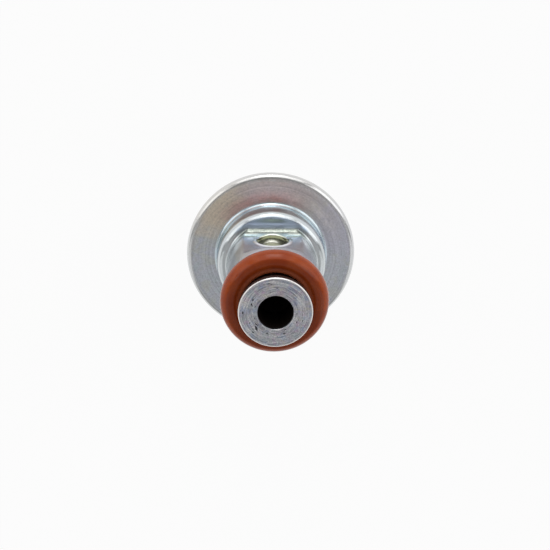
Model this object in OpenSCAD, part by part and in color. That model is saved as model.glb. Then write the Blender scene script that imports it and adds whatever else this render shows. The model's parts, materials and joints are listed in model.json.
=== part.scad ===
// Fuel pressure regulator of the crimped can type, standing on the end of its spring cover.
// The outlet nozzle points up along +Z. The origin is the centre of the cover's flat end.

/* [Lower housing] */
// Thickness of the housing's drawn sheet
housing_wall = 0.8; // [0.5:0.05:1.1]
// Outside diameter of the neck
neck_d = 18.8; // [16:0.2:22]
// Height of the neck above the shoulder
neck_h = 16.7; // [15:0.1:24]
// Width of the step from the neck out to the shoulder
step_w = 2.1; // [1.8:0.1:4]
// Height of the shoulder above the flange's front face
shoulder_h = 6.1; // [3.5:0.1:8]
// Width of the flange from the shoulder out to the rim
flange_w = 6.5; // [5:0.1:9]
// Width of the lip that is folded behind the cover's flange
hem_w = 2.6; // [2:0.1:3.2]
// Width of the lip that is turned in at the neck's end
end_lip_w = 1.4; // [1:0.1:2]

/* [Housing bends] */
// Inside radius of the two bends of the rolled rim
rim_bend_in = 0.3; // [0.1:0.05:0.6]
// Radius of the hollow bend between flange and shoulder
flange_fillet_r = 0.5; // [0.4:0.1:1.5]
// Inside radius of the bend at the top of the shoulder
shoulder_bend_in = 0.8; // [0.1:0.05:1]
// Radius of the hollow bend at the root of the neck
neck_root_r = 0.45; // [0.2:0.05:0.8]
// Inside radius of the bend at the neck's end
neck_end_bend_in = 0.15; // [0.1:0.05:0.6]

/* [Inlet flat] */
// Depth of the flat that is pressed into the side of the neck
flat_depth = 2.2; // [1.4:0.1:2.6]
// Radius of the hollow along the foot of the flat
flat_fillet_r = 2.3; // [1.6:0.1:2.6]
// Depth of the hollow below the step
flat_sink = 0.3; // [0.1:0.05:0.4]
// Slope in degrees at which the flat runs out into the neck's upper end
flat_ramp = 45; // [35:1:50]
// Length of round neck above the flat
flat_margin = 2.4; // [2:0.1:4]

/* [Inlet hole] */
// Diameter of the inlet hole in the flat
inlet_d = 6.3; // [4.5:0.1:7]
// Height of the inlet hole's centre above the foot of the flat
inlet_rise = 4.7; // [4.5:0.1:6]
// Chamfer round the inlet hole
inlet_edge = 0.5; // [0.2:0.05:0.6]

/* [Outlet nozzle] */
// Length of the nose beyond the neck's end
nose_h = 7.9; // [6.2:0.1:12]
// Thickness of the collar at the nose
collar_t = 1.5; // [1:0.1:2.2]
// Chamfer round the collar's front edge
collar_chamfer = 0.15; // [0.1:0.05:0.5]
// Depth of the seal groove below the collar
groove_depth = 1.1; // [0.6:0.1:1.8]
// Diameter of the outlet bore
outlet_d = 6.7; // [5.2:0.1:8]
// Chamfer at the mouth of the outlet bore
outlet_chamfer = 0.1; // [0.05:0.05:0.4]
// Gap between the nozzle's foot ring and the back of the neck's flat
inlet_gap = 0.4; // [0.3:0.05:0.8]
// Length of the nozzle's body inside the neck, down to its foot ring
body_h = 15.15; // [12:0.05:16]
// Height of the foot ring, with its chamfer
foot_h = 1.65; // [1.2:0.05:2]
// How far the foot ring stands out from the body
foot_step = 0.5; // [0.3:0.05:0.6]
// Height of the ring that bears against the inside of the neck's end
stop_ring_h = 1.2; // [0.8:0.1:1.6]
// Chamfer that breaks the nozzle's other turned edges
edge_break = 0.15; // [0.05:0.05:0.25]

/* [Nose seal] */
// Thickness of the seal ring's round section
seal_section = 4.5; // [3:0.1:5.6]

/* [Spring cover] */
// Thickness of the cover's drawn sheet
cover_wall = 0.65; // [0.4:0.05:0.9]
// Height of the can from its end to its flange
cover_h = 15; // [12:0.25:22]
// How far the can's side lies outside the housing's shoulder
cover_step = 1; // [0:0.1:1.6]
// Radius of the hollow bend between the can and its flange
cover_fillet_r = 0.8; // [0.4:0.1:1.2]
// Inside radius of the bend round the closed end
cover_bend_in = 1.35; // [0.4:0.05:2]
// Depth of the setting dimple in the closed end
dimple_depth = 1.3; // [1.25:0.05:2.2]
// Diameter of the vent hole in the can's side
vent_d = 1.6; // [1:0.1:2.5]

/* [Diaphragm] */
// Thickness of the rubber and fabric sheet
diaphragm_t = 0.35; // [0.25:0.05:0.5]
// Length of the straight legs of the rolling fold
fold_leg = 0.25; // [0.1:0.05:0.6]

/* [Valve] */
// Diameter of the valve seat's throat
throat_d = 4.2; // [3:0.1:5]
// Width of the valve seat's flat lip
seat_lip_w = 1; // [0.6:0.1:1.2]
// Length of the valve seat's sleeve in the nozzle
seat_sleeve_h = 6; // [4:0.5:8]
// Width of the valve plate's thin edge outside its sealing land
plate_edge_w = 0.75; // [0.5:0.05:0.9]
// Thickness of the valve plate's edge
plate_edge_t = 0.5; // [0.3:0.05:0.7]
// Diameter of the valve ball
ball_d = 3; // [2.4:0.1:3.6]
// Wall of the valve holder's stem round the ball
stem_wall = 1.3; // [0.8:0.1:1.8]
// Wall of the valve holder's skirt round the valve plate
skirt_wall = 0.9; // [0.6:0.1:1.2]
// Height of the skirt above the valve holder's flange
skirt_h = 1.25; // [1:0.05:1.8]
// Thickness of the valve holder's flange
holder_flange_t = 1; // [0.7:0.1:1.6]
// Thickness of the ring that keeps the valve plate in its holder
retainer_t = 0.15; // [0.1:0.05:0.3]
// Thickness of the riveted end of the stem
rivet_t = 0.8; // [0.6:0.1:1.2]

/* [Springs] */
// Mean diameter of the main spring
spring_d = 12; // [10.5:0.1:13.6]
// Wire diameter of the main spring
wire_d = 1.8; // [1.2:0.1:2.2]
// Turns of the main spring
spring_turns = 5.5; // [4:0.5:5.5]
// Margin of the support plate outside the main spring
spring_margin = 0.4; // [0.2:0.05:0.8]
// Thickness of the support plate
plate_t = 0.8; // [0.5:0.05:1.1]
// Height of the spring under the ball
ball_spring_h = 2.4; // [1.9:0.1:3.2]
// Wire diameter of the spring under the ball
small_wire_d = 0.35; // [0.2:0.05:0.45]
// Turns of the spring under the ball
small_turns = 4; // [3:1:4]

/* [Hidden] */
$fn = 96;

// Clearances: faces that just meet, a press fit, a snug fit, a loose fit, a slip past and the crimp's play
touch = 0.02;
press_gap = 0.01;
snug = 0.05;
loose = 0.1;
slip = 0.2;
crimp_gap = 0.3;

// Radii of the housing and the nozzle, from the neck outwards and inwards
neck_r = neck_d / 2;
shoulder_r = neck_r + step_w;
rim_r = shoulder_r + flange_w;
neck_bore_r = neck_r - housing_wall;
end_hole_r = neck_bore_r - end_lip_w;
collar_r = end_hole_r - slip;
groove_r = collar_r - groove_depth;
flat_y = neck_r - flat_depth;
foot_r = flat_y - housing_wall - inlet_gap;
body_r = foot_r - foot_step;
stop_ring_r = neck_bore_r - crimp_gap;
outlet_r = outlet_d / 2;

// Radii of the valve, from the seat's throat and the ball outwards
pocket_step = 0.25;
seat_tube_wall = 0.9;
seat_pocket_r = outlet_r + pocket_step;
seat_head_r = seat_pocket_r + seat_tube_wall;
throat_r = throat_d / 2;
lip_r = throat_r + seat_lip_w;
sealing_land_r = lip_r + slip;
valve_plate_r = sealing_land_r + plate_edge_w;
recess_r = valve_plate_r + loose;
skirt_r = recess_r + skirt_wall;
ball_r = ball_d / 2;
ball_pocket_r = ball_r + loose;
stem_r = ball_pocket_r + stem_wall;

// Radii of the springs, the support plate, the diaphragm's fold and the cover
spring_r = spring_d / 2;
wire_r = wire_d / 2;
plate_r = spring_r + wire_r + spring_margin;
cup_r = spring_r - wire_r - slip;
holder_inset = 0.5;
holder_flange_r = plate_r - holder_inset;
cover_r = shoulder_r + cover_step;
cover_flange_r = rim_r - housing_wall - crimp_gap;
diaphragm_r = cover_flange_r - crimp_gap;
dimple_slack = 0.75;
dimple_r = spring_r - wire_r - dimple_slack - cover_wall;
fold_in_r = plate_r + crimp_gap;
fold_out_r = min(shoulder_r - housing_wall, cover_r - cover_wall) - touch;
fold_r = (fold_out_r - fold_in_r) / 2;

// Heights, from the cover's end upwards through the clamped rim to the nose
cover_flange_z = cover_h + cover_wall;
diaphragm_z = cover_flange_z + diaphragm_t;
flange_z = diaphragm_z + housing_wall;
hem_z = cover_h - housing_wall;
step_z = flange_z + shoulder_h;
neck_end_z = step_z + neck_h;
nose_z = neck_end_z + nose_h;
flat_z = step_z - flat_sink;
inlet_z = flat_z + inlet_rise;
end_wall_z = neck_end_z - housing_wall;
seal_z = neck_end_z + touch + seal_section / 2;
seal_r = groove_r + snug + seal_section / 2;

// Heights of the valve, from the holder's flange up to the seat and down to the riveted end
holder_flange_z = diaphragm_z + holder_flange_t;
recess_z = holder_flange_z + slip;
skirt_z = holder_flange_z + skirt_h;
seat_z = skirt_z + retainer_t + loose;
seat_head_h = 1.2;
plate_edge_z = skirt_z - snug;
ball_z = plate_edge_z - plate_edge_t - touch - ball_r;
ball_pocket_z = ball_z - ball_r - ball_spring_h;
cup_z = ball_pocket_z + slip;

// Colours
zinc = [0.72, 0.73, 0.72];
yellow_zinc = [0.68, 0.66, 0.5];
seal_brown = [0.48, 0.16, 0.06];
rubber_black = [0.06, 0.06, 0.06];
brass = [0.72, 0.55, 0.25];
steel = [0.6, 0.6, 0.62];

function unit(v) = v / norm(v);
function left(v) = [-v[1], v[0]];
function reversed(list) = [for (i = [len(list) - 1:-1:0]) list[i]];

// Points of one corner of a bent sheet, on the face that lies w to the left of the path.
// The path turns at b with the bend radius r, and all the sheet's faces share the bend's centre.
function bend(a, b, c, r, w, steps = 8) =
    let (into = unit(b - a), out = unit(c - b), side = sign(cross(into, out)))
    let (turn = acos(into * out), centre = b + r / cos(turn / 2) * unit(out - into))
    [for (i = [0:steps])
        let (t = side * turn * i / steps)
        let (along = [into[0] * cos(t) - into[1] * sin(t), into[0] * sin(t) + into[1] * cos(t)])
        centre - side * (r - side * w) * left(along)];

// One face of a bent sheet. Each entry of the path is [radius, height, bend radius].
function sheet_face(path, w) =
    let (p = [for (q = path) [q[0], q[1]]], last = len(path) - 1)
    concat([p[0] + w * left(unit(p[1] - p[0]))],
           [for (i = [1:last - 1]) each bend(p[i - 1], p[i], p[i + 1], path[i][2], w)],
           [p[last] + w * left(unit(p[last] - p[last - 1]))]);

// A drawn sheet turned round the axis, with its wall to the left of the path if wall is positive
module drawn_sheet(path, wall) {
    rotate_extrude() polygon(concat(sheet_face(path, 0), reversed(sheet_face(path, wall))));
}

// Height of a coil's centre line after t turns: one close turn at each end, an even pitch between
function coil_z(t, turns, low, high, wire) =
    let (pitch = (high - low - 2 * wire) / (turns - 2))
    t < 1 ? low + wire * t : t > turns - 1 ? high - wire * (turns - t) : low + wire + pitch * (t - 1);

// A compression spring between two heights, with its end turns ground flat
module coil_spring(mean_r, wire, turns, z0, z1, sides, steps) {
    ground = 0.3 * wire;
    rings = round(turns * steps);
    points = [for (i = [0:rings], k = [0:sides - 1])
        let (a = 360 * i / steps, s = 360 * (k + 0.5) / sides, r = mean_r + wire / 2 * cos(s))
        let (z = coil_z(i / steps, rings / steps, z0 + ground, z1 - ground, wire) + wire / 2 * sin(s))
        [r * cos(a), r * sin(a), min(z1, max(z0, z))]];
    walls = [for (i = [0:rings - 1], k = [0:sides - 1])
        let (n = (k + 1) % sides, a = i * sides, b = a + sides)
        each [[a + k, b + k, b + n], [a + k, b + n, a + n]]];
    ends = [[for (k = [0:sides - 1]) k], [for (k = [sides - 1:-1:0]) rings * sides + k]];
    polyhedron(points, concat(walls, ends));
}

// Outline of the tool that presses the flat, as distance from the axis and height.
// The round nose forms the hollow at the foot. grow moves the outline to the sheet's back face.
function flat_outline(grow, steps = 14) =
    let (nose_r = flat_fillet_r + grow, nose_start = -50, nose_turn = 140)
    let (nose_y = flat_y + flat_fillet_r, nose_z = flat_z + flat_fillet_r, face_y = flat_y - grow)
    let (ramp_z = neck_end_z - flat_margin - flat_depth / tan(flat_ramp) + grow * tan(flat_ramp / 2))
    concat([for (i = [0:steps]) let (t = nose_start + nose_turn * i / steps)
               [nose_y - nose_r * sin(t), nose_z - nose_r * cos(t)]],
           [[face_y, ramp_z], [shoulder_r, ramp_z + (shoulder_r - face_y) / tan(flat_ramp)]]);

// The same tool as a solid across the neck's -Y side
module flat_tool(grow = 0) {
    rotate([90, 0, -90]) linear_extrude(2 * shoulder_r, center = true) polygon(flat_outline(grow));
}

// Tool of the inlet hole with its chamfer, along -Y from the axis
module inlet_tool() {
    inlet_r = inlet_d / 2;
    edge = min(inlet_edge, housing_wall - loose);
    translate([0, 0, inlet_z]) rotate([90, 0, 0]) rotate_extrude() polygon([
        [0, 0], [inlet_r, 0], [inlet_r, flat_y - edge], [inlet_r + edge, flat_y],
        [inlet_r + edge, neck_d], [0, neck_d]]);
}

// Drawn housing: folded hem, flange, shoulder and neck, with the flat and the inlet hole on the -Y side
module lower_housing() {
    rim_bend_r = rim_bend_in + housing_wall;
    shoulder_bend_r = min(shoulder_bend_in + housing_wall, step_w - neck_root_r - snug);
    neck_path = [[shoulder_r, step_z, shoulder_bend_r], [neck_r, step_z, neck_root_r],
                 [neck_r, neck_end_z, neck_end_bend_in + housing_wall], [end_hole_r, neck_end_z, 0]];
    path = concat([[rim_r - hem_w, hem_z, 0], [rim_r, hem_z, rim_bend_r], [rim_r, flange_z, rim_bend_r],
                   [shoulder_r, flange_z, flange_fillet_r]], neck_path);
    mid_wall = housing_wall / 2;
    core = sheet_face(concat([[shoulder_r, flange_z, 0]], neck_path), mid_wall);
    color(zinc) difference() {
        union() {
            drawn_sheet(path, housing_wall);
            intersection() {
                rotate_extrude() polygon(concat([[0, flange_z]], core, [[0, neck_end_z - mid_wall]]));
                flat_tool(housing_wall);
            }
        }
        flat_tool();
        inlet_tool();
    }
}

// Drawn cover: flange under the hem, can, and closed end with the setting dimple
module spring_cover() {
    dimple_bend_in = 0.15;
    dimple_fillet_r = 0.3;
    path = [[cover_flange_r, cover_h, 0], [cover_r, cover_h, cover_fillet_r],
            [cover_r, 0, cover_bend_in + cover_wall], [dimple_r, 0, dimple_bend_in + cover_wall],
            [dimple_r, dimple_depth, dimple_fillet_r], [0, dimple_depth, 0]];
    color(zinc) difference() {
        drawn_sheet(path, -cover_wall);
        translate([0, 0, cover_h / 2]) rotate([-90, 0, 0]) cylinder(d = vent_d, h = 2 * cover_r, $fn = 32);
    }
}

// Turned nozzle: nose collar, seal groove, land in the neck's end, stop ring, body, foot ring and seat tube
module outlet_nozzle() {
    tube_z = seat_z + seat_head_h;
    stop_z = tube_z + seat_sleeve_h;
    taper_h = (foot_r - seat_head_r) / 2;
    foot_z = max(end_wall_z - body_h - foot_h, tube_z + taper_h + slip);
    chamfer_z = foot_z + foot_h - foot_step;
    stop_ring_z = end_wall_z - stop_ring_h;
    land_r = end_hole_r - press_gap;
    collar_z = nose_z - collar_t;
    color(yellow_zinc) rotate_extrude() polygon([
        [seat_pocket_r, tube_z], [seat_head_r, tube_z], [seat_head_r, foot_z - taper_h], [foot_r, foot_z],
        [foot_r, chamfer_z], [body_r, foot_z + foot_h], [body_r, stop_ring_z],
        [stop_ring_r - edge_break, stop_ring_z],
        [stop_ring_r, stop_ring_z + edge_break], [stop_ring_r, end_wall_z - edge_break],
        [stop_ring_r - edge_break, end_wall_z], [land_r, end_wall_z],
        [land_r, neck_end_z - edge_break], [land_r - edge_break, neck_end_z], [groove_r, neck_end_z],
        [groove_r, collar_z], [collar_r - edge_break, collar_z], [collar_r, collar_z + edge_break],
        [collar_r, nose_z - collar_chamfer], [collar_r - collar_chamfer, nose_z],
        [outlet_r + outlet_chamfer, nose_z], [outlet_r, nose_z - outlet_chamfer],
        [outlet_r, stop_z], [seat_pocket_r, stop_z]]);
}

// Hardened seat, pressed into the counterbore at the lower end of the outlet bore
module valve_seat() {
    sleeve_r = seat_pocket_r - press_gap;
    head_z = seat_z + seat_head_h;
    color(steel) rotate_extrude() polygon([
        [throat_r, seat_z], [lip_r, seat_z], [seat_head_r, seat_z + seat_head_h / 2], [seat_head_r, head_z],
        [sleeve_r, head_z], [sleeve_r, head_z + seat_sleeve_h], [throat_r, head_z + seat_sleeve_h]]);
}

// Round rubber ring in the nose groove, lying against the neck's end
module nose_seal() {
    color(seal_brown) translate([0, 0, seal_z])
        rotate_extrude() translate([seal_r, 0]) circle(d = seal_section, $fn = 48);
}

// Rubber and fabric sheet, clamped in the rim and between the plate and the holder
module diaphragm() {
    edge_bend_r = 0.3;
    fold_z = cover_flange_z - edge_bend_r - fold_leg - fold_r;
    path = [[diaphragm_r, cover_flange_z, 0], [fold_out_r, cover_flange_z, edge_bend_r],
            [fold_out_r, fold_z, fold_r], [fold_in_r, fold_z, fold_r],
            [fold_in_r, cover_flange_z, edge_bend_r], [stem_r + snug, cover_flange_z, 0]];
    color(rubber_black) drawn_sheet(path, -diaphragm_t);
}

// Pressed plate that carries the main spring, with a cup down to the stem's riveted end
module support_plate() {
    cup_fillet_r = 0.3;
    cup_bend_in = 0.1;
    flat_z = cover_flange_z - plate_t;
    path = [[plate_r, flat_z, 0], [cup_r, flat_z, cup_fillet_r], [cup_r, cup_z, cup_bend_in + plate_t],
            [stem_r + snug, cup_z, 0]];
    color(zinc) drawn_sheet(path, -plate_t);
}

// Turned brass holder: riveted stem, flange on the diaphragm, recess for the plate, pocket for the ball
module valve_holder() {
    rivet_z = cup_z - rivet_t;
    rivet_r = stem_r + rivet_t;
    color(brass) rotate_extrude() polygon([
        [0, rivet_z], [rivet_r, rivet_z], [rivet_r, cup_z], [stem_r, cup_z],
        [stem_r, diaphragm_z], [holder_flange_r, diaphragm_z], [holder_flange_r, holder_flange_z],
        [skirt_r, holder_flange_z], [skirt_r, skirt_z], [recess_r, skirt_z], [recess_r, recess_z],
        [ball_pocket_r, recess_z], [ball_pocket_r, ball_pocket_z], [0, ball_pocket_z]]);
}

// Steel ball that lets the valve plate settle flat on its seat
module valve_ball() {
    color(steel) translate([0, 0, ball_z]) sphere(r = ball_r);
}

// Flat valve plate with a raised sealing land
module valve_plate() {
    under_z = plate_edge_z - plate_edge_t;
    color(steel) rotate_extrude() polygon([
        [0, under_z], [valve_plate_r, under_z], [valve_plate_r, plate_edge_z],
        [sealing_land_r, plate_edge_z], [sealing_land_r, seat_z], [0, seat_z]]);
}

// Thin ring staked on the skirt, which keeps the valve plate in the holder
module valve_retainer() {
    color(steel) translate([0, 0, skirt_z]) rotate_extrude()
        translate([sealing_land_r + loose, 0]) square([skirt_r - sealing_land_r - loose, retainer_t]);
}

// Light spring under the ball
module ball_spring() {
    mean_r = ball_r - small_wire_d / 2;
    low = ball_pocket_z + touch;
    high = ball_z - ball_r - touch;
    color(steel) coil_spring(mean_r, small_wire_d, small_turns, low, high, 8, 16);
}

// Spring that sets the fuel pressure, between the cover's end and the support plate
module main_spring() {
    low = cover_wall + touch;
    high = cover_flange_z - plate_t - touch;
    color(steel) coil_spring(spring_r, wire_d, spring_turns, low, high, 12, 24);
}

lower_housing();
spring_cover();
outlet_nozzle();
valve_seat();
nose_seal();
diaphragm();
support_plate();
valve_holder();
valve_ball();
valve_plate();
valve_retainer();
ball_spring();
main_spring();
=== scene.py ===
"""Models and finishes the pieces of a crimped fuel pressure regulator around its CAD frame."""

import json
import math
import random
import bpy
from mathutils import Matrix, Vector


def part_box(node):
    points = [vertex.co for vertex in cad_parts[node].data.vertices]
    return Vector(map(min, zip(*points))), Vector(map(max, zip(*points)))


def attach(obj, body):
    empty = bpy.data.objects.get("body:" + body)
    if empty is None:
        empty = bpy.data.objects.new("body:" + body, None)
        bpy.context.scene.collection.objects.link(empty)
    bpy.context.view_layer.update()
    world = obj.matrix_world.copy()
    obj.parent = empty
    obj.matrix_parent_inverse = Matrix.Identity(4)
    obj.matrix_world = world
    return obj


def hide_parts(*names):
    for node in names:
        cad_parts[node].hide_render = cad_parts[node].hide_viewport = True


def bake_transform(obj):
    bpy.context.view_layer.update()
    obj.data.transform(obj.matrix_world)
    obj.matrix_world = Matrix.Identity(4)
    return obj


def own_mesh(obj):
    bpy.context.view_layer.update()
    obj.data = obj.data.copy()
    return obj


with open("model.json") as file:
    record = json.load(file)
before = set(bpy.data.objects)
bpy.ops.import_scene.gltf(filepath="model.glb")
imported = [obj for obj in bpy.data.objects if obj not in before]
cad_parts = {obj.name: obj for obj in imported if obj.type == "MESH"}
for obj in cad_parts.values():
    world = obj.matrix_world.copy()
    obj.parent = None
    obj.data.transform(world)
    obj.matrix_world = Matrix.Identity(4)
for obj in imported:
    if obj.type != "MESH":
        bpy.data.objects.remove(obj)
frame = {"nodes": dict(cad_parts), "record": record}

from types import SimpleNamespace

import bmesh
import bpy
from bpy.props import FloatProperty, FloatVectorProperty, PointerProperty
from mathutils import Euler, Vector

bl_info = {
    "name": "Fuel pressure regulator",
    "version": (1, 0, 0),
    "blender": (4, 5, 0),
    "location": "View3D > Sidebar > Regulator",
    "description": "Models and finishes the pieces of a crimped fuel pressure regulator",
    "category": "Object",
}

# Pieces are modelled in millimetres, because the edit tools work best near that size, and then
# brought to metres
MM = 0.001
SAME_POINT = 1e-4
NEAR = 1e-3

# Steps round the axis, segments of bends and of the seal's section, and the columns of faces that the
# square patch round each hole takes up
ROUND_STEPS = 192
BEND_SEGMENTS = 10
SHOULDER_SEGMENTS = 24
HOLE_SEGMENTS = 6
SECTION_SEGMENTS = 96
INLET_COLUMNS = 22
VENT_COLUMNS = 6
SMOOTH_ANGLE = math.radians(35)
NODE_SPACING = 220
HOLE_EDGE = "hole_edge"

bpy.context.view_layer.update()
HOUSING_LOW, HOUSING_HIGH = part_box("lower_housing")
_, COVER_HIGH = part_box("spring_cover")
NOZZLE_LOW, NOZZLE_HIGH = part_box("outlet_nozzle")
SEAL_LOW, SEAL_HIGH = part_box("nose_seal")
SPRING_LOW, SPRING_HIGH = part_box("main_spring")
BALL_SPRING_LOW, BALL_SPRING_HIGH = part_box("ball_spring")
DIAPHRAGM_LOW, DIAPHRAGM_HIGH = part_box("diaphragm")
MOUNTS = {mount["name"]: mount for mount in frame["record"]["mounts"]}


def length(name, description, default):
    """A size in metres."""
    return FloatProperty(name=name, description=description, default=default, unit="LENGTH", precision=5)


def colour(name, description, default):
    """A linear colour."""
    return FloatVectorProperty(
        name=name, description=description, default=default, subtype="COLOR", min=0, max=1)


def share(name, description, default):
    """A share from 0 to 1."""
    return FloatProperty(
        name=name, description=description, default=default, subtype="FACTOR", min=0, max=1)


class HousingSizes(bpy.types.PropertyGroup):
    """Sizes of the drawn housing."""

    wall: length("Sheet", "Thickness of the drawn sheet", 0.8 * MM)
    rim_radius: length("Rim radius", "Outside radius of the rolled rim", HOUSING_HIGH.x)
    rim_bend: length("Rim bend", "Outside radius of the rim's two bends", 1.1 * MM)
    hem_radius: length("Folded lip radius", "Inside radius of the lip behind the cover", 15.4 * MM)
    hem_z: length("Folded lip height", "Height of the folded lip's back face", HOUSING_LOW.z)
    flange_z: length(
        "Flange height", "Height of the flange's front face", MOUNTS["flange_face"]["pos_m"][2])
    flange_fillet: length("Flange fillet", "Radius of the hollow bend at the shoulder's foot", 0.7 * MM)
    shoulder_radius: length("Shoulder radius", "Outside radius of the shoulder", 11.45 * MM)
    shoulder_bend: length("Shoulder bend", "Outside radius of the shoulder's upper bend", 1.56 * MM)
    step_z: length("Step height", "Height of the step between shoulder and neck", 22.9 * MM)
    neck_radius: length("Neck radius", "Outside radius of the neck", 9.4 * MM)
    neck_root: length("Neck root", "Radius of the hollow bend at the neck's root", 0.45 * MM)
    neck_end_z: length("Neck end", "Height of the neck's end", HOUSING_HIGH.z)
    neck_end_bend: length("Neck end bend", "Outside radius of the bend at the neck's end", 0.95 * MM)
    end_hole_radius: length("End hole", "Radius of the hole that holds the nozzle", 7.2 * MM)
    flat_radius: length("Flat", "Distance of the neck's pressed flat from the axis", 7.2 * MM)
    flat_hollow: length("Flat hollow", "Radius of the hollow along the flat's foot", 2.12 * MM)
    flat_foot_z: length("Flat foot", "Height of the lowest line of the hollow", 22.64 * MM)
    flat_top_z: length("Flat top", "Height at which the flat has run out into the round neck", 37.2 * MM)
    flat_blend: length("Flat blend", "Rounding where the flat meets the round neck", 0.10 * MM)
    inlet_radius: length("Inlet hole", "Radius of the inlet hole", 3.3 * MM)
    inlet_z: length("Inlet height", "Height of the inlet hole's centre", 27.5 * MM)
    inlet_edge: length("Inlet edge", "Rounding of the inlet hole's outer edge", 0.3 * MM)
    lip_width: length("Hole lip width", "Width of the low lip round the inlet hole's nose side", 0.85 * MM)
    lip_height: length("Hole lip height", "Height of that lip over the flat", 0.2 * MM)
    lip_start: length("Hole lip start", "Distance below the hole's centre where the lip starts", 1.6 * MM)
    lip_full: length("Hole lip full", "Distance below the hole's centre where it is full", 0.2 * MM)
    witness_radius: length("Rolling mark", "Radius of the mark left by the rolling tool", 16.62 * MM)
    witness_depth: length("Rolling mark depth", "Depth of the rolling mark", 0.05 * MM)


class CoverSizes(bpy.types.PropertyGroup):
    """Sizes of the drawn spring cover."""

    wall: length("Sheet", "Thickness of the drawn sheet", 0.65 * MM)
    flange_radius: length("Flange radius", "Outside radius of the clamped flange", COVER_HIGH.x)
    top_z: length("Flange height", "Height of the flange's upper face", COVER_HIGH.z)
    flange_fillet: length("Flange fillet", "Radius of the hollow bend below the flange", 0.8 * MM)
    can_radius: length("Can radius", "Outside radius of the can", 12.5 * MM)
    end_bend: length("End bend", "Outside radius of the bend round the closed end", 2.0 * MM)
    dimple_radius: length("Dimple radius", "Radius of the setting dimple", 3.7 * MM)
    dimple_depth: length("Dimple depth", "Depth of the setting dimple", 1.3 * MM)
    dimple_edge: length("Dimple edge", "Rounding of the dimple's edge", 0.8 * MM)
    dimple_foot: length("Dimple foot", "Radius of the hollow bend inside the dimple", 0.3 * MM)
    vent_radius: length("Vent hole", "Radius of the vent hole", 0.8 * MM)
    vent_z: length("Vent height", "Height of the vent hole's centre", 7.5 * MM)
    vent_edge: length("Vent edge", "Rounding of the vent hole's outer edge", 0.12 * MM)


class NozzleSizes(bpy.types.PropertyGroup):
    """Sizes of the turned outlet nozzle."""

    nose_z: length("Nose height", "Height of the nose's face", NOZZLE_HIGH.z)
    foot_z: length("Foot height", "Height of the nozzle's lower end", NOZZLE_LOW.z)
    collar_radius: length(
        "Collar radius", "Radius of the nose collar", MOUNTS["nose_collar"]["dims"]["r_mm"] * MM)
    collar_height: length("Collar height", "Thickness of the nose collar", 1.5 * MM)
    collar_chamfer: length("Collar chamfer", "Chamfer round the collar's face", 0.14 * MM)
    groove_radius: length("Groove radius", "Radius of the seal groove's floor", 5.9 * MM)
    groove_corner: length("Groove corner", "Rounding in the groove's corners", 0.25 * MM)
    land_radius: length("Land radius", "Radius of the land in the neck's end", 7.19 * MM)
    stop_radius: length("Stop ring radius", "Radius of the ring inside the neck's end", NOZZLE_HIGH.x)
    stop_height: length("Stop ring height", "Height of the ring inside the neck's end", 1.2 * MM)
    body_radius: length("Body radius", "Radius of the body inside the neck", 5.5 * MM)
    body_height: length("Body height", "Height of the body above its foot ring", 15.15 * MM)
    ring_radius: length("Foot ring radius", "Radius of the ring at the body's foot", 6.2 * MM)
    ring_height: length("Foot ring height", "Height of the ring at the body's foot", 1.65 * MM)
    tube_radius: length("Tube radius", "Outside radius of the seat tube", 4.5 * MM)
    pocket_radius: length("Pocket radius", "Radius of the pocket that holds the valve seat", 3.6 * MM)
    pocket_height: length("Pocket height", "Depth of the pocket that holds the valve seat", 6.0 * MM)
    bore_radius: length(
        "Bore radius", "Radius of the outlet bore", MOUNTS["outlet_bore"]["dims"]["r_mm"] * MM)
    bore_chamfer: length("Bore chamfer", "Chamfer at the mouth of the outlet bore", 0.1 * MM)
    edge_break: length("Edge break", "Chamfer on the other turned edges", 0.15 * MM)
    mark_pitch: length("Tool mark pitch", "Distance between tool marks on the face", 0.15 * MM)
    mark_depth: length("Tool mark depth", "Depth of the deepest tool mark", 0.02 * MM)
    pit_depth: length("Pit depth", "Depth of the small pits in the face", 0.06 * MM)


class SealSizes(bpy.types.PropertyGroup):
    """Sizes of the seal ring."""

    section: length("Section", "Diameter of the ring's round section", SEAL_HIGH.z - SEAL_LOW.z)
    outer_radius: length("Outer radius", "Outside radius of the ring", SEAL_HIGH.x)
    centre_z: length("Height", "Height of the ring's middle plane", (SEAL_LOW.z + SEAL_HIGH.z) / 2)
    flash: length("Flash", "Height of the mould's parting line", 0.02 * MM)
    flow_line: length("Flow line", "Depth of the moulding lines", 0.012 * MM)
    nick: length("Nick", "Depth of the small nick", 0.06 * MM)


class SpringSizes(bpy.types.PropertyGroup):
    """Sizes of the two coil springs and the diaphragm."""

    wire: length("Wire", "Wire diameter of the main spring", 1.8 * MM)
    ball_wire: length("Ball spring wire", "Wire diameter of the spring under the ball", 0.35 * MM)
    sheet: length("Diaphragm", "Thickness of the diaphragm", 0.35 * MM)
    fold_outer: length("Fold outside", "Outer radius of the diaphragm's fold", 10.68 * MM)
    fold_inner: length("Fold inside", "Inner radius of the diaphragm's fold", 7.6 * MM)
    stem_radius: length("Stem radius", "Radius of the hole round the valve holder's stem", 2.95 * MM)
    edge_bend: length("Fold edge", "Radius of the bends at the top of the fold", 0.3 * MM)


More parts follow.
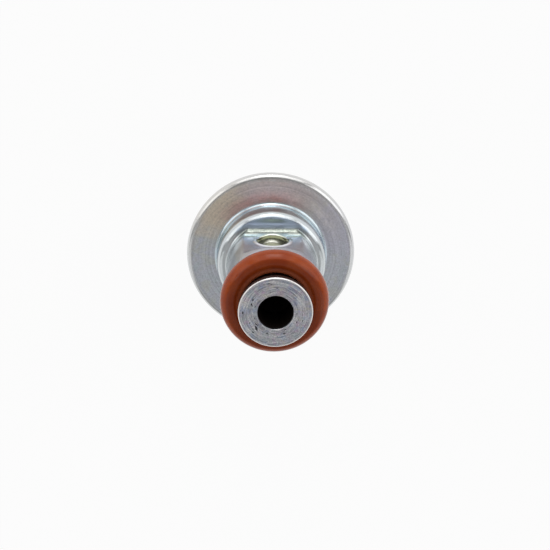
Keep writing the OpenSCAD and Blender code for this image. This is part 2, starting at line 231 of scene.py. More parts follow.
class FinishColours(bpy.types.PropertyGroup):
    """Colours of the finishes."""

    zinc: colour("Zinc", "Bare zinc plate", (0.66, 0.665, 0.66))
    teal: colour("Teal film", "Blue-green film on the drawn shoulder and neck", (0.54, 0.65, 0.71))
    green: colour("Green film", "Yellow-green film in the hollow below the inlet hole", (0.26, 0.28, 0.24))
    violet: colour("Violet film", "Violet film on the flat and parts of the flange", (0.62, 0.60, 0.70))
    pink: colour("Pink film", "Pink-brown film on the flange beside the shoulder", (0.63, 0.40, 0.37))
    sand: colour("Sand film", "Pale olive film on the flange", (0.75, 0.66, 0.53))
    steel_blue: colour("Blue film", "Blue-grey film on the rest of the flange", (0.56, 0.61, 0.66))
    warm: colour("Warm film", "Warm grey film on the flange's inlet side", (0.66, 0.585, 0.56))
    # Painted glints: near-white grains laid on one side of the flange
    dust: colour("Pale grains", "Pale grains on the flange", (0.97, 0.92, 0.89))
    shoulder: colour("Shoulder film", "Deeper film on the shoulder's wall", (0.45, 0.56, 0.61))
    pale_green: colour("Pale green film", "Film between the hollow and the inlet hole", (0.84, 0.90, 0.80))
    worn: colour("Worn film", "Dark worn patches in the hollow", (0.15, 0.175, 0.16))
    # Part film tint, part painted dark reflection: darkens what the hollow's outer part reflects
    hollow: colour("Hollow film", "Blue film on the outer part of the hollow", (0.40, 0.50, 0.62))
    # Painted highlight: a near-white laid on the inlet hole's lip
    lip: colour("Hole lip", "Bright lip of the inlet hole", (0.92, 0.93, 0.93))
    turned: colour("Turned steel", "Plated turned steel", (0.64, 0.64, 0.64))
    mauve: colour("Mauve film", "Mauve patches on the nose", (0.60, 0.43, 0.60))
    blue: colour("Nose blue", "Blue patches on the nose", (0.40, 0.49, 0.68))
    mark: colour("Tool marks", "Dark lines of the tool marks", (0.15, 0.16, 0.20))
    burnish: colour("Burnish", "Bright lines between the tool marks", (0.95, 0.94, 0.92))
    fleck: colour("Flecks", "Small bright flecks on the nose", (0.97, 0.96, 0.95))
    # Painted shade: a near-black laid in the bottoms of the sunk pits
    pit: colour("Pits", "Bottoms of the small pits in the nose", (0.05, 0.05, 0.055))
    # Painted highlight: a near-white ring laid on the collar's chamfer
    collar_edge: colour("Collar edge", "Bright edge of the nose collar", (0.90, 0.87, 0.85))
    # Painted shade: a dark grey laid on the collar's side and the groove below the nose's face
    collar_side: colour("Collar side", "Dark side of the nose collar", (0.15, 0.145, 0.145))
    # Painted highlight: a near-white ring round the body's foot, seen through the inlet hole
    foot_ring: colour("Foot ring", "Bright ring seen through the inlet hole", (0.97, 0.98, 0.88))
    # Painted shade: a near-black laid on the deep outlet bore's wall
    bore: colour("Bore", "Dark wall of the outlet bore", (0.03, 0.022, 0.019))
    olive: colour("Olive film", "Yellow-olive film on the nozzle inside the neck", (0.58, 0.59, 0.44))
    seal: colour("Seal rubber", "Red-brown seal rubber", (0.275, 0.040, 0.006))
    seal_light: colour("Seal bloom", "Lighter bloom on the seal rubber", (0.33, 0.058, 0.010))
    # Painted shade: a darker rubber laid on the seal ring's up-facing crest
    seal_crest: colour("Seal crest", "Darker crest of the seal ring", (0.06, 0.005, 0.001))
    # Painted light: a lighter rubber laid on the seal ring's inner side
    seal_inside: colour("Seal inside", "Lighter inner side of the seal ring", (0.52, 0.13, 0.055))
    seal_speck: colour("Seal specks", "Dust specks on the seal ring", (0.46, 0.16, 0.07))
    rubber: colour("Diaphragm rubber", "Black rubber on fabric", (0.025, 0.025, 0.027))
    weave: colour("Diaphragm weave", "Fabric that shows through the rubber", (0.06, 0.06, 0.065))
    brass: colour("Brass", "Turned brass", (0.72, 0.50, 0.20))
    brass_dark: colour("Dark brass", "Tarnished brass", (0.42, 0.26, 0.09))
    steel: colour("Hardened steel", "Ground hardened steel", (0.56, 0.57, 0.58))
    steel_dark: colour("Dark steel", "Tarnished hardened steel", (0.36, 0.36, 0.38))
    wire: colour("Spring wire", "Oiled spring wire", (0.30, 0.31, 0.33))
    wire_dark: colour("Dark wire", "Tarnished spring wire", (0.14, 0.14, 0.15))
    floor: colour("Floor", "Plain pale floor", (0.88, 0.88, 0.88))
    floor_grain: colour("Floor grain", "Faint grain of the floor", (0.8, 0.8, 0.8))


class StageSettings(bpy.types.PropertyGroup):
    """Camera, floor and surroundings."""

    camera_place: FloatVectorProperty(
        name="Camera place", description="Where the camera stands", subtype="TRANSLATION", unit="LENGTH",
        default=(6.503 * MM, -74.283 * MM, 217.956 * MM), precision=5)
    camera_turn: FloatVectorProperty(
        name="Camera turn", description="How the camera is turned", subtype="EULER", unit="ROTATION",
        default=(math.radians(-21.386), math.radians(-1.820), math.radians(-179.236)))
    lens: FloatProperty(
        name="Lens", description="Focal length for a 36 mm frame, in millimetres", default=65.4545)
    horizon: share("Horizon", "Brightness of the surroundings at eye level", 0.95)
    room: share("Room", "Brightness of the room above eye level", 0.36)
    lens_side: share("Behind the camera", "Brightness of the dark patch behind the camera", 0.30)
    shadow: share("Shadow", "How much of the floor's own light and shade shows", 0.08)


GROUPS = {
    "regulator_housing": HousingSizes,
    "regulator_cover": CoverSizes,
    "regulator_nozzle": NozzleSizes,
    "regulator_seal": SealSizes,
    "regulator_springs": SpringSizes,
    "regulator_colours": FinishColours,
    "regulator_stage": StageSettings,
}


def in_mm(group):
    """The lengths of a property group, in millimetres."""
    return SimpleNamespace(**{name: getattr(group, name) / MM for name in group.__annotations__})


# Modelling


def radius_of(co):
    """Distance of a point from the regulator's axis."""
    return math.hypot(co.x, co.y)


def select(piece, kind, test):
    """In edit mode, selects the VERT, EDGE or FACE elements that pass the test, and nothing else."""
    bpy.ops.mesh.select_mode(type=kind)
    bpy.ops.mesh.select_all(action="DESELECT")
    mesh = bmesh.from_edit_mesh(piece.data)
    elements = {"VERT": mesh.verts, "EDGE": mesh.edges, "FACE": mesh.faces}[kind]
    for element in [e for e in elements if test(e)]:
        element.select_set(True)
    mesh.select_flush_mode()
    bmesh.update_edit_mesh(piece.data)


def draw_line(name, points, closed=False):
    """Starts a piece as a bent line through points of radius and height, and leaves it in edit mode."""
    bpy.ops.object.select_all(action="DESELECT")
    bpy.ops.mesh.primitive_plane_add(size=1)
    piece = bpy.context.object
    piece.name = piece.data.name = name
    bpy.ops.object.mode_set(mode="EDIT")
    bpy.ops.mesh.select_mode(type="VERT")
    bpy.ops.mesh.select_all(action="SELECT")
    bpy.ops.mesh.merge(type="CENTER")
    bpy.ops.transform.translate(value=(points[0][0], 0, points[0][1]))
    for (r0, z0), (r1, z1) in zip(points, points[1:]):
        bpy.ops.mesh.extrude_vertices_move(TRANSFORM_OT_translate={"value": (r1 - r0, 0, z1 - z0)})
    if closed:
        ends = [Vector((r, 0, z)) for r, z in (points[0], points[-1])]
        select(piece, "VERT", lambda v: min((v.co - end).length for end in ends) < SAME_POINT)
        bpy.ops.mesh.edge_face_add()
    return piece


def round_corner(piece, corner, radius, segments=BEND_SEGMENTS):
    """Rounds one corner of a drawn line."""
    place = Vector((corner[0], 0, corner[1]))
    select(piece, "VERT", lambda v: (v.co - place).length < SAME_POINT)
    bpy.ops.mesh.bevel(offset=radius, offset_type="OFFSET", segments=segments, profile=0.5,
                       affect="VERTICES", clamp_overlap=False)


def divide_stretch(piece, radius, low, high, parts):
    """Divides the upright stretch of a drawn line between two heights into equal parts."""
    middle = Vector((radius, 0, (low + high) / 2))
    select(piece, "EDGE", lambda e: ((e.verts[0].co + e.verts[1].co) / 2 - middle).length < NEAR)
    bpy.ops.mesh.subdivide(number_cuts=parts - 1)


def spin_round(piece):
    """Spins a drawn line once round the axis, closes its seam and poles, and turns the faces outwards."""
    bpy.ops.mesh.select_all(action="SELECT")
    bpy.ops.mesh.spin(steps=ROUND_STEPS, angle=math.tau, center=(0, 0, 0), axis=(0, 0, 1))
    bpy.ops.mesh.select_all(action="SELECT")
    bpy.ops.mesh.remove_doubles(threshold=NEAR)
    bpy.ops.mesh.normals_make_consistent(inside=False)
    upright = [f for f in bmesh.from_edit_mesh(piece.data).faces if abs(f.normal.z) < 0.2]
    outermost = max(upright, key=lambda f: radius_of(f.calc_center_median()))
    centre = outermost.calc_center_median()
    if outermost.normal.dot(Vector((centre.x, centre.y, 0))) < 0:
        bpy.ops.mesh.flip_normals()


def apply_modifier(piece, kind, **settings):
    """Adds a modifier with these settings and applies it."""
    bpy.ops.object.mode_set(mode="OBJECT")
    bpy.ops.object.modifier_add(type=kind)
    modifier = piece.modifiers[-1]
    for name, value in settings.items():
        setattr(modifier, name, value)
    bpy.ops.object.modifier_apply(modifier=modifier.name)


def thicken(piece, wall):
    """Gives a spun skin its wall, on the inside."""
    apply_modifier(piece, "SOLIDIFY", thickness=wall, offset=-1,
                   use_even_offset=True, use_quality_normals=True)
    bpy.ops.object.mode_set(mode="EDIT")


def pierce(piece, wall_radius, centre_z, radius, side, columns, ease, edge):
    """Opens a round hole along Y in an upright skin, and leaves its edge in the vertex group HOLE_EDGE.

    The square of columns by columns faces round the hole is drawn into a circle, and the faces next to it
    follow, less and less over the share ease of its half width. The first row of them is left wider than
    edge, the later rounding. side is -1 or 1 for the -Y or the +Y face."""
    turn = columns / 2 * math.tau / ROUND_STEPS
    half_height = wall_radius * turn

    def on_wall(co):
        return abs(radius_of(co) - wall_radius) < 0.02 and co.y * side > 0

    def square_place(co):
        return co.x / (wall_radius * math.sin(turn)), (co.z - centre_z) / half_height

    def in_patch(face):
        upright = abs(face.normal.z) < 0.1 and on_wall(face.verts[0].co)
        return upright and max(map(abs, square_place(face.calc_center_median()))) < 1

    select(piece, "FACE", in_patch)
    mesh = bmesh.from_edit_mesh(piece.data)
    moves = []
    for vert in mesh.verts:
        u, v = square_place(vert.co)
        reach = max(abs(u), abs(v))
        if not on_wall(vert.co) or not 0.999 < reach < 1 + ease:
            continue
        angle = math.pi / 4 * (v / u if abs(u) >= abs(v) else 2 - u / v)
        flip = -1 if (u if abs(u) >= abs(v) else v) < 0 else 1
        keep = max(0, (reach - 1) / ease)
        round_radius = radius * reach + (1.2 * edge if reach > 1.001 else 0)
        round_x = flip * math.cos(angle) * round_radius
        round_z = flip * math.sin(angle) * round_radius + centre_z
        x = round_x + (vert.co.x - round_x) * keep
        z = round_z + (vert.co.z - round_z) * keep
        moves.append((vert, Vector((x, side * math.sqrt(wall_radius ** 2 - x * x), z))))
    for vert, place in moves:
        vert.co = place
    bmesh.update_edit_mesh(piece.data)
    bpy.ops.mesh.delete(type="FACE")
    select(piece, "VERT", lambda v: v.is_boundary and v.co.y * side > 0
           and abs(math.hypot(v.co.x, v.co.z - centre_z) - radius) < NEAR)
    bpy.ops.object.vertex_group_assign_new()
    piece.vertex_groups.active.name = HOLE_EDGE


def round_hole(piece, middle, side, edge):
    """Rounds the outer edge of a pierced hole, in a wall whose middle lies at this distance along Y."""
    bpy.ops.mesh.select_mode(type="VERT")
    bpy.ops.mesh.select_all(action="DESELECT")
    bpy.ops.object.vertex_group_set_active(group=HOLE_EDGE)
    bpy.ops.object.vertex_group_select()
    mesh = bmesh.from_edit_mesh(piece.data)
    rim = {v.index for v in mesh.verts if v.select}

    def on_outer_edge(line):
        inside_out = all(v.index in rim and v.co.y * side > middle for v in line.verts)
        upright = sorted(abs(f.normal.y) for f in line.link_faces)
        return inside_out and upright[0] < 0.5 < upright[-1]

    select(piece, "EDGE", on_outer_edge)
    bpy.ops.mesh.bevel(offset=edge, segments=HOLE_SEGMENTS, profile=0.5,
                       affect="EDGES", clamp_overlap=False)
    bpy.ops.object.vertex_group_remove(all=True)


def press_flat(piece, s):
    """Presses the flat into the neck's -Y side: the face moves in along Y, and its foot becomes a hollow.

    The hollow is a straight round groove. It cuts the shoulder's bend along a crease, and each column's
    points between that crease and the neck's root are spread along the groove."""
    top_blend = 0.6
    nose_y = s.flat_radius + s.flat_hollow
    nose_z = s.flat_foot_z + s.flat_hollow
    ramp_z = s.flat_top_z - (s.neck_radius - s.flat_radius)

    def face_at(z):
        drop = max(0, nose_z - z)
        hollow = nose_y - math.sqrt(max(0, s.flat_hollow ** 2 - drop * drop))
        return soft_max(hollow, s.flat_radius + z - ramp_z, top_blend)

    def groove_at(distance):
        return nose_z - math.sqrt(max(0, s.flat_hollow ** 2 - (distance - nose_y) ** 2))

    mesh = bmesh.from_edit_mesh(piece.data)
    columns = {}
    for vert in mesh.verts:
        distance = -vert.co.y
        if distance <= 0 or radius_of(vert.co) > s.shoulder_radius + 0.01:
            continue
        if vert.co.z > s.step_z - NEAR and radius_of(vert.co) < s.neck_radius + s.neck_root - NEAR:
            vert.co.y = -soft_min(distance, face_at(vert.co.z), s.flat_blend)
        elif vert.co.z > s.step_z - s.shoulder_bend:
            turn = math.atan2(vert.co.x, distance)
            columns.setdefault(round(turn / math.tau * ROUND_STEPS), []).append(vert)
    start = math.degrees(math.acos(1 - (s.step_z - s.flat_foot_z) / s.flat_hollow))
    for column in columns.values():
        column.sort(key=lambda v: -radius_of(v.co))
        cut = [v for v in column if v.co.z > groove_at(-v.co.y)]
        if len(cut) < 2 or -cut[-1].co.y < nose_y - s.flat_hollow * math.sin(math.radians(start)):
            continue
        crease = math.degrees(math.asin((nose_y + cut[0].co.y) / s.flat_hollow))
        for i, vert in enumerate(cut):
            turn = math.radians(crease + (start - crease) * i / len(cut))
            vert.co.y = s.flat_hollow * math.sin(turn) - nose_y
            vert.co.z = nose_z - s.flat_hollow * math.cos(turn)
    bmesh.update_edit_mesh(piece.data)


def raise_lip(piece, s):
    """Raises the sheet at the inlet hole's nose side into the low lip that punching leaves."""
    mesh = bmesh.from_edit_mesh(piece.data)
    for vert in mesh.verts:
        away = math.hypot(vert.co.x, vert.co.z - s.inlet_z) - s.inlet_radius
        if vert.co.y > 0 or away > s.lip_width or radius_of(vert.co) > s.neck_radius + 0.01:
            continue
        fall = soft_step(1 - away / s.lip_width)
        side = soft_step((vert.co.z - s.inlet_z + s.lip_start) / (s.lip_start - s.lip_full))
        vert.co.y -= s.lip_height * fall * side
    bmesh.update_edit_mesh(piece.data)


def soft_step(share):
    """Goes from 0 to 1 with the share, and slowly at both ends."""
    share = min(1, max(0, share))
    return share * share * (3 - 2 * share)


def soft_min(a, b, width):
    """The smaller of two lengths, with a rounded change-over."""
    mixed = max(0, width - abs(a - b)) / width
    return min(a, b) - mixed * mixed * width / 4


def soft_max(a, b, width):
    """The larger of two lengths, with a rounded change-over."""
    return -soft_min(-a, -b, width)


def finish_piece(piece, node, body, finish):
    """Brings a piece to metres, smooths it, gives it its finish and puts it in its CAD node's place.

    A piece with no body is left unattached."""
    bpy.ops.object.mode_set(mode="EDIT")
    bpy.ops.mesh.select_all(action="SELECT")
    bpy.ops.transform.resize(value=(MM, MM, MM), center_override=(0, 0, 0))
    bpy.ops.object.mode_set(mode="OBJECT")
    bpy.ops.object.shade_smooth_by_angle(angle=SMOOTH_ANGLE)
    apply_modifier(piece, "WEIGHTED_NORMAL", keep_sharp=True, weight=100)
    piece.data.materials.clear()
    piece.data.materials.append(bpy.data.materials[finish])
    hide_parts(node)
    if body:
        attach(piece, body)


def make_housing(sizes):
    """The drawn housing: folded lip, rolled rim, flange, shoulder and neck with the inlet hole."""
    s = in_mm(sizes)
    corners = [(s.rim_radius, s.hem_z, s.rim_bend),
               (s.rim_radius, s.flange_z, s.rim_bend),
               (s.shoulder_radius, s.flange_z, s.flange_fillet),
               (s.shoulder_radius, s.step_z, s.shoulder_bend),
               (s.neck_radius, s.step_z, s.neck_root),
               (s.neck_radius, s.neck_end_z, s.neck_end_bend)]
    half_mark = 3 * s.witness_depth
    mark = [(s.witness_radius + half_mark, s.flange_z),
            (s.witness_radius, s.flange_z - s.witness_depth),
            (s.witness_radius - half_mark, s.flange_z)]
    half_patch = s.neck_radius * math.pi * INLET_COLUMNS / ROUND_STEPS
    patch_low, patch_high = s.inlet_z - half_patch, s.inlet_z + half_patch
    patch = [(s.neck_radius, patch_low), (s.neck_radius, patch_high)]
    places = [(r, z) for r, z, bend in corners]
    line = [(s.hem_radius, s.hem_z), *places[:2], *mark, *places[2:5], *patch, places[5],
            (s.end_hole_radius, s.neck_end_z)]
    piece = draw_line("drawn_housing", line)
    for r, z, bend in corners:
        round_corner(piece, (r, z), bend, SHOULDER_SEGMENTS if bend == s.shoulder_bend else BEND_SEGMENTS)
    row = s.neck_radius * math.tau / ROUND_STEPS
    neck_low, neck_high = s.step_z + s.neck_root, s.neck_end_z - s.neck_end_bend
    divide_stretch(piece, s.neck_radius, neck_low, patch_low, 2)
    divide_stretch(piece, s.neck_radius, patch_low, patch_high, INLET_COLUMNS)
    divide_stretch(piece, s.neck_radius, patch_high, neck_high, round((neck_high - patch_high) / row))
    spin_round(piece)
    ease = (patch_low - neck_low) / half_patch
    pierce(piece, s.neck_radius, s.inlet_z, s.inlet_radius, -1, INLET_COLUMNS, ease, s.inlet_edge)
    press_flat(piece, s)
    raise_lip(piece, s)
    thicken(piece, s.wall)
    round_hole(piece, s.flat_radius - s.wall / 2, -1, s.inlet_edge)
    return piece


def make_cover(sizes):
    """The drawn spring cover: clamped flange, can with the vent hole, closed end with a setting dimple."""
    s = in_mm(sizes)
    flange_z = s.top_z - s.wall
    corners = [(s.can_radius, flange_z, s.flange_fillet), (s.can_radius, 0, s.end_bend),
               (s.dimple_radius, 0, s.dimple_edge), (s.dimple_radius, s.dimple_depth, s.dimple_foot)]
    half_patch = s.can_radius * math.pi * VENT_COLUMNS / ROUND_STEPS
    patch_low, patch_high = s.vent_z - half_patch, s.vent_z + half_patch
    patch = [(s.can_radius, patch_high), (s.can_radius, patch_low)]
    places = [(r, z) for r, z, bend in corners]
    line = [(s.flange_radius, flange_z), places[0], *patch, *places[1:], (0, s.dimple_depth)]
    piece = draw_line("drawn_cover", line)
    for r, z, bend in corners:
        round_corner(piece, (r, z), bend)
    row = s.can_radius * math.tau / ROUND_STEPS
    can_low, can_high = s.end_bend, flange_z - s.flange_fillet
    divide_stretch(piece, s.can_radius, can_low, patch_low, round((patch_low - can_low) / row))
    divide_stretch(piece, s.can_radius, patch_low, patch_high, VENT_COLUMNS)
    divide_stretch(piece, s.can_radius, patch_high, can_high, round((can_high - patch_high) / row))
    spin_round(piece)
    pierce(piece, s.can_radius, s.vent_z, s.vent_radius, 1, VENT_COLUMNS, 1, s.vent_edge)
    thicken(piece, s.wall)
    round_hole(piece, s.can_radius - s.wall / 2, 1, s.vent_edge)
    return piece


# Least depth of a tool mark as a share of the deepest, and the step in phase from mark to mark
MARK_SHALLOW = 0.15
MARK_PHASE = 2.4


def tool_marks(s):
    """Points across the nose's face, from the collar's chamfer in to the bore's, with shallow rings."""
    outer = s.collar_radius - s.collar_chamfer
    inner = s.bore_radius + s.bore_chamfer
    count = int((outer - inner) / s.mark_pitch)
    points = [(outer, s.nose_z)]
    for i in range(1, count):
        depth = s.mark_depth * (MARK_SHALLOW + (1 - MARK_SHALLOW) * math.sin(MARK_PHASE * i) ** 2)
        r = outer - i * s.mark_pitch
        points += [(r, s.nose_z - depth), (r - s.mark_pitch / 2, s.nose_z)]
    return points + [(inner, s.nose_z)]


# Heights over the neck's end where its inside begins, heights over the body's foot where the ring of
# painted highlight begins and ends, and the height of the ring's chamfer as a share of its width
IN_NECK = (-0.1, -0.6)
FOOT_RING_HIGHLIGHT = (-0.8, -0.6, 0.05, 0.2)
RING_CHAMFER = 0.75


def nozzle_levels(s):
    """Heights of the neck's end, of the inside of its wall and of the foot of the nozzle's body."""
    neck = in_mm(bpy.context.scene.regulator_housing)
    land_low = neck.neck_end_z - neck.wall
    return neck.neck_end_z, land_low, land_low - s.body_height


def make_nozzle(sizes):
    """The turned nozzle: nose collar, seal groove, land, body in the neck, seat tube and outlet bore."""
    s = in_mm(sizes)
    collar_z = s.nose_z - s.collar_height
    land_high, land_low, body_z = nozzle_levels(s)
    ring_z = body_z - s.ring_height
    stop_low = land_low - s.stop_height
    stop_z = s.foot_z + s.pocket_height
    groove = [(s.groove_radius, land_high), (s.groove_radius, collar_z)]
    line = [(s.pocket_radius, stop_z), (s.pocket_radius, s.foot_z), (s.tube_radius, s.foot_z),
            (s.tube_radius, ring_z - (s.ring_radius - s.tube_radius) / 2), (s.ring_radius, ring_z),
            (s.ring_radius, body_z - RING_CHAMFER * (s.ring_radius - s.body_radius)),
            (s.body_radius, body_z),
            (s.body_radius, stop_low), (s.stop_radius - s.edge_break, stop_low),
            (s.stop_radius, stop_low + s.edge_break), (s.stop_radius, land_low - s.edge_break),
            (s.stop_radius - s.edge_break, land_low), (s.land_radius, land_low),
            (s.land_radius, land_high - s.edge_break), (s.land_radius - s.edge_break, land_high), *groove,
            (s.collar_radius - s.edge_break, collar_z), (s.collar_radius, collar_z + s.edge_break),
            (s.collar_radius, s.nose_z - s.collar_chamfer), *tool_marks(s),
            (s.bore_radius, s.nose_z - s.bore_chamfer), (s.bore_radius, stop_z)]
    piece = draw_line("turned_nozzle", line, closed=True)
    for corner in groove:
        round_corner(piece, corner, s.groove_corner)
    spin_round(piece)
    sink_pits(piece, s)
    return piece


PIT_SEED = 11
PIT_COUNT = 26
PIT_WIDTHS = (0.08, 0.17)
PIT_DEPTHS = (0.6, 1)


def sink_pits(piece, s):
    """Sinks small pits into the nose's face, most of them on its +X side, as the tool tore them out."""
    draw = random.Random(PIT_SEED)
    for _ in range(PIT_COUNT):
        angle = draw.gauss(0, 1.1)
        r = draw.uniform(s.bore_radius + 0.6, s.collar_radius - 0.9)
        wide = draw.uniform(*PIT_WIDTHS)
        along = Vector((-math.sin(angle), math.cos(angle), 0))
        place = Vector((r * math.cos(angle), r * math.sin(angle), s.nose_z))

        def in_pit(vert):
            gap = vert.co - place
            stretch = gap.dot(along) / 2
            across = math.hypot(gap.x, gap.y) ** 2 - gap.dot(along) ** 2
            return abs(gap.z) < 0.03 and across + stretch * stretch < wide * wide

        select(piece, "VERT", in_pit)
        bpy.ops.transform.translate(value=(0, 0, -s.pit_depth * draw.uniform(*PIT_DEPTHS)))


# Angles round the seal's section of its parting lines, its sunk and raised moulding lines and its nick,
# and the nick's angle round the axis
PARTING_LINES = (0, 180)
SUNK_LINES = (108.75, 116.25, 127.5, 138.75)
RAISED_LINES = (112.5, 131.25)
NICK_SIDE = 62
NICK_ANGLE = math.radians(-40)


def make_seal(sizes):
    """The seal ring: a round section with parting lines, moulding lines and one small nick."""
    s = in_mm(sizes)
    ring_radius = s.outer_radius - s.section / 2
    bpy.ops.object.select_all(action="DESELECT")
    bpy.ops.mesh.primitive_torus_add(
        location=(0, 0, s.centre_z), major_segments=ROUND_STEPS, minor_segments=SECTION_SEGMENTS,
        major_radius=ring_radius, minor_radius=s.section / 2 - s.flash)
    piece = bpy.context.object
    piece.name = piece.data.name = "seal_ring"
    bpy.ops.object.transform_apply(location=True, rotation=True, scale=True)
    bpy.ops.object.mode_set(mode="EDIT")

    def section_angle(vert):
        return math.degrees(math.atan2(vert.co.z - s.centre_z, radius_of(vert.co) - ring_radius))

    def between(a, b):
        return abs((a - b + 180) % 360 - 180)

    lines = {PARTING_LINES: s.flash, SUNK_LINES: -s.flow_line, RAISED_LINES: s.flow_line}
    for angles, height in lines.items():
        select(piece, "VERT", lambda v: any(between(section_angle(v), angle) < 1 for angle in angles))
        bpy.ops.transform.shrink_fatten(value=height)
    nick_radius = ring_radius + s.section / 2 * math.cos(math.radians(NICK_SIDE))
    nick_place = Vector((math.cos(NICK_ANGLE), math.sin(NICK_ANGLE), 0)) * nick_radius
    select(piece, "VERT", lambda v: abs(section_angle(v) - NICK_SIDE) < 2.5
           and math.hypot(v.co.x - nick_place.x, v.co.y - nick_place.y) < 0.5)
    bpy.ops.transform.shrink_fatten(value=-s.nick)
    return piece


# How far over a spring's end the wire's centre lies, as a share of the wire's diameter
GROUND_SHARE = 0.3


def coil_height(turn, turns, low, high, wire):
    """Height of a coil's centre line: one close turn at each end and an even pitch between."""
    pitch = (high - low - 2 * wire) / (turns - 2)
    if turn < 1:
        return low + wire * turn
    if turn > turns - 1:
        return high - wire * (turns - turn)
    return low + wire + pitch * (turn - 1)


def make_coil(name, box, wire, turns, steps):
    """A compression spring in a CAD box, wound as a curve, made a mesh and ground flat at its two ends."""
    low, high = (corner / MM for corner in box)
    mean_radius = high.x - wire / 2
    ground = GROUND_SHARE * wire
    bpy.ops.object.select_all(action="DESELECT")
    bpy.ops.curve.primitive_nurbs_path_add()
    coil = bpy.context.object
    coil.name = coil.data.name = name
    coil.data.splines.clear()
    spline = coil.data.splines.new("POLY")
    count = round(turns * steps)
    spline.points.add(count)
    for i, point in enumerate(spline.points):
        angle = math.tau * i / steps
        z = coil_height(i / steps, turns, low.z + ground, high.z - ground, wire)
        point.co = (mean_radius * math.cos(angle), mean_radius * math.sin(angle), z, 1)
    coil.data.twist_mode = "Z_UP"
    coil.data.bevel_depth = wire / 2
    coil.data.bevel_resolution = 4
    coil.data.use_fill_caps = True
    bpy.ops.object.convert(target="MESH")
    piece = bpy.context.object
    bpy.ops.object.mode_set(mode="EDIT")
    bpy.ops.mesh.select_all(action="SELECT")
    bpy.ops.mesh.remove_doubles(threshold=SAME_POINT)
    for height, normal in ((low.z, (0, 0, -1)), (high.z, (0, 0, 1))):
        bpy.ops.mesh.select_all(action="SELECT")
        bpy.ops.mesh.bisect(plane_co=(0, 0, height), plane_no=normal, clear_outer=True, use_fill=True)
    bpy.ops.mesh.select_all(action="SELECT")
    bpy.ops.mesh.remove_doubles(threshold=SAME_POINT)
    bpy.ops.mesh.normals_make_consistent(inside=False)
    return piece


def make_diaphragm_half(name, sizes, outer):
    """One half of the diaphragm, from the bottom of its rolling fold out to the rim or in to the stem."""
    s = in_mm(sizes)
    high = DIAPHRAGM_HIGH.z / MM - s.sheet
    low = DIAPHRAGM_LOW.z / MM
    fold = (s.fold_outer - s.fold_inner) / 2
    middle = (s.fold_outer + s.fold_inner) / 2
    leg, end = (s.fold_outer, DIAPHRAGM_HIGH.x / MM) if outer else (s.fold_inner, s.stem_radius)
    piece = draw_line(name, [(end, high), (leg, high), (leg, low), (middle, low)])
    round_corner(piece, (leg, high), s.edge_bend)
    round_corner(piece, (leg, low), fold)
    spin_round(piece)
    thicken(piece, s.sheet if outer else -s.sheet)
    return piece


# Finishes


class Tree:
    """Adds nodes to a shader tree and joins them. A value is a number, a colour or a socket."""

    def __init__(self, tree):
        self.tree = tree

    def set(self, socket, value):
        if isinstance(value, bpy.types.NodeSocket):
            self.tree.links.new(value, socket)
        else:
            socket.default_value = value

    def add(self, kind, values=None, **settings):
        node = self.tree.nodes.new(kind)
        node.location.x = NODE_SPACING * len(self.tree.nodes)
        for name, value in settings.items():
            setattr(node, name, value)
        for name, value in (values or {}).items():
            self.set(node.inputs[name], value)
        return node

    def math(self, operation, *values, clamp=False):
        node = self.add("ShaderNodeMath", dict(enumerate(values)), operation=operation, use_clamp=clamp)
        return node.outputs[0]

    def minus(self, value, taken):
        return self.math("SUBTRACT", value, taken)

    def times(self, *values):
        """The product of values."""
        product = values[0]
        for value in values[1:]:
            product = self.math("MULTIPLY", product, value)
        return product

    def plus(self, base, value, weight):
        """The base and a weighted value together."""
        return self.math("MULTIPLY_ADD", value, weight, base)

    def noise(self, vector, scale, detail=3.0, roughness=0.55, distortion=0.0):
        values = {"Vector": vector, "Scale": scale, "Detail": detail, "Roughness": roughness,
                  "Distortion": distortion}
        return self.add("ShaderNodeTexNoise", values).outputs["Fac"]

    def spread(self, value, low, high, to_low=0.0, to_high=1.0):
        """A soft step from to_low at low to to_high at high, which may also lie below low."""
        values = {"Value": value, "From Min": low, "From Max": high, "To Min": to_low, "To Max": to_high}
        return self.add("ShaderNodeMapRange", values, interpolation_type="SMOOTHSTEP").outputs["Result"]

    def band(self, value, low, low_end, high_start, high):
        """A mask that rises from low to low_end and falls from high_start to high."""
        return self.times(self.spread(value, low, low_end), self.spread(value, high, high_start))

    def patches(self, vector, scale, low, high, to_low=0.0, to_high=1.0, detail=4, roughness=0.55):
        """Soft-edged patches of noise."""
        return self.spread(self.noise(vector, scale, detail, roughness), low, high, to_low, to_high)

    def mix(self, factor, a, b, blend="MIX"):
        node = self.add("ShaderNodeMix", {0: factor, 6: a, 7: b}, data_type="RGBA", blend_type=blend)
        return node.outputs[2]

    def layers(self, base, *layers):
        """Colours laid over the base in turn, each by the product of its masks."""
        for tint, *masks in layers:
            base = self.mix(self.times(*masks), base, (*tint, 1))
        return base

    def shade(self, base, level):
        """The base made darker or lighter by a level."""
        return self.mix(1, base, self.combine(level, level, level), "MULTIPLY")

    def ramp(self, factor, stops):
        node = self.add("ShaderNodeValToRGB", {"Fac": factor})
        elements = node.color_ramp.elements
        while len(elements) < len(stops):
            elements.new(0.5)
        for element, (place, tint) in zip(elements, stops):
            element.position = place
            element.color = (*tint, 1)
        return node.outputs["Color"]

    def combine(self, x, y, z):
        return self.add("ShaderNodeCombineXYZ", {"X": x, "Y": y, "Z": z}).outputs[0]

    def split(self, vector):
        return self.add("ShaderNodeSeparateXYZ", {0: vector}).outputs

    def bump(self, height, distance):
        node = self.add("ShaderNodeBump", {"Height": height, "Distance": distance, "Strength": 1})
        return node.outputs["Normal"]

    def group(self, name, **values):
        node = self.add("ShaderNodeGroup", node_tree=bpy.data.node_groups[name])
        for socket, value in values.items():
            self.set(node.inputs[socket], value)
        return node.outputs


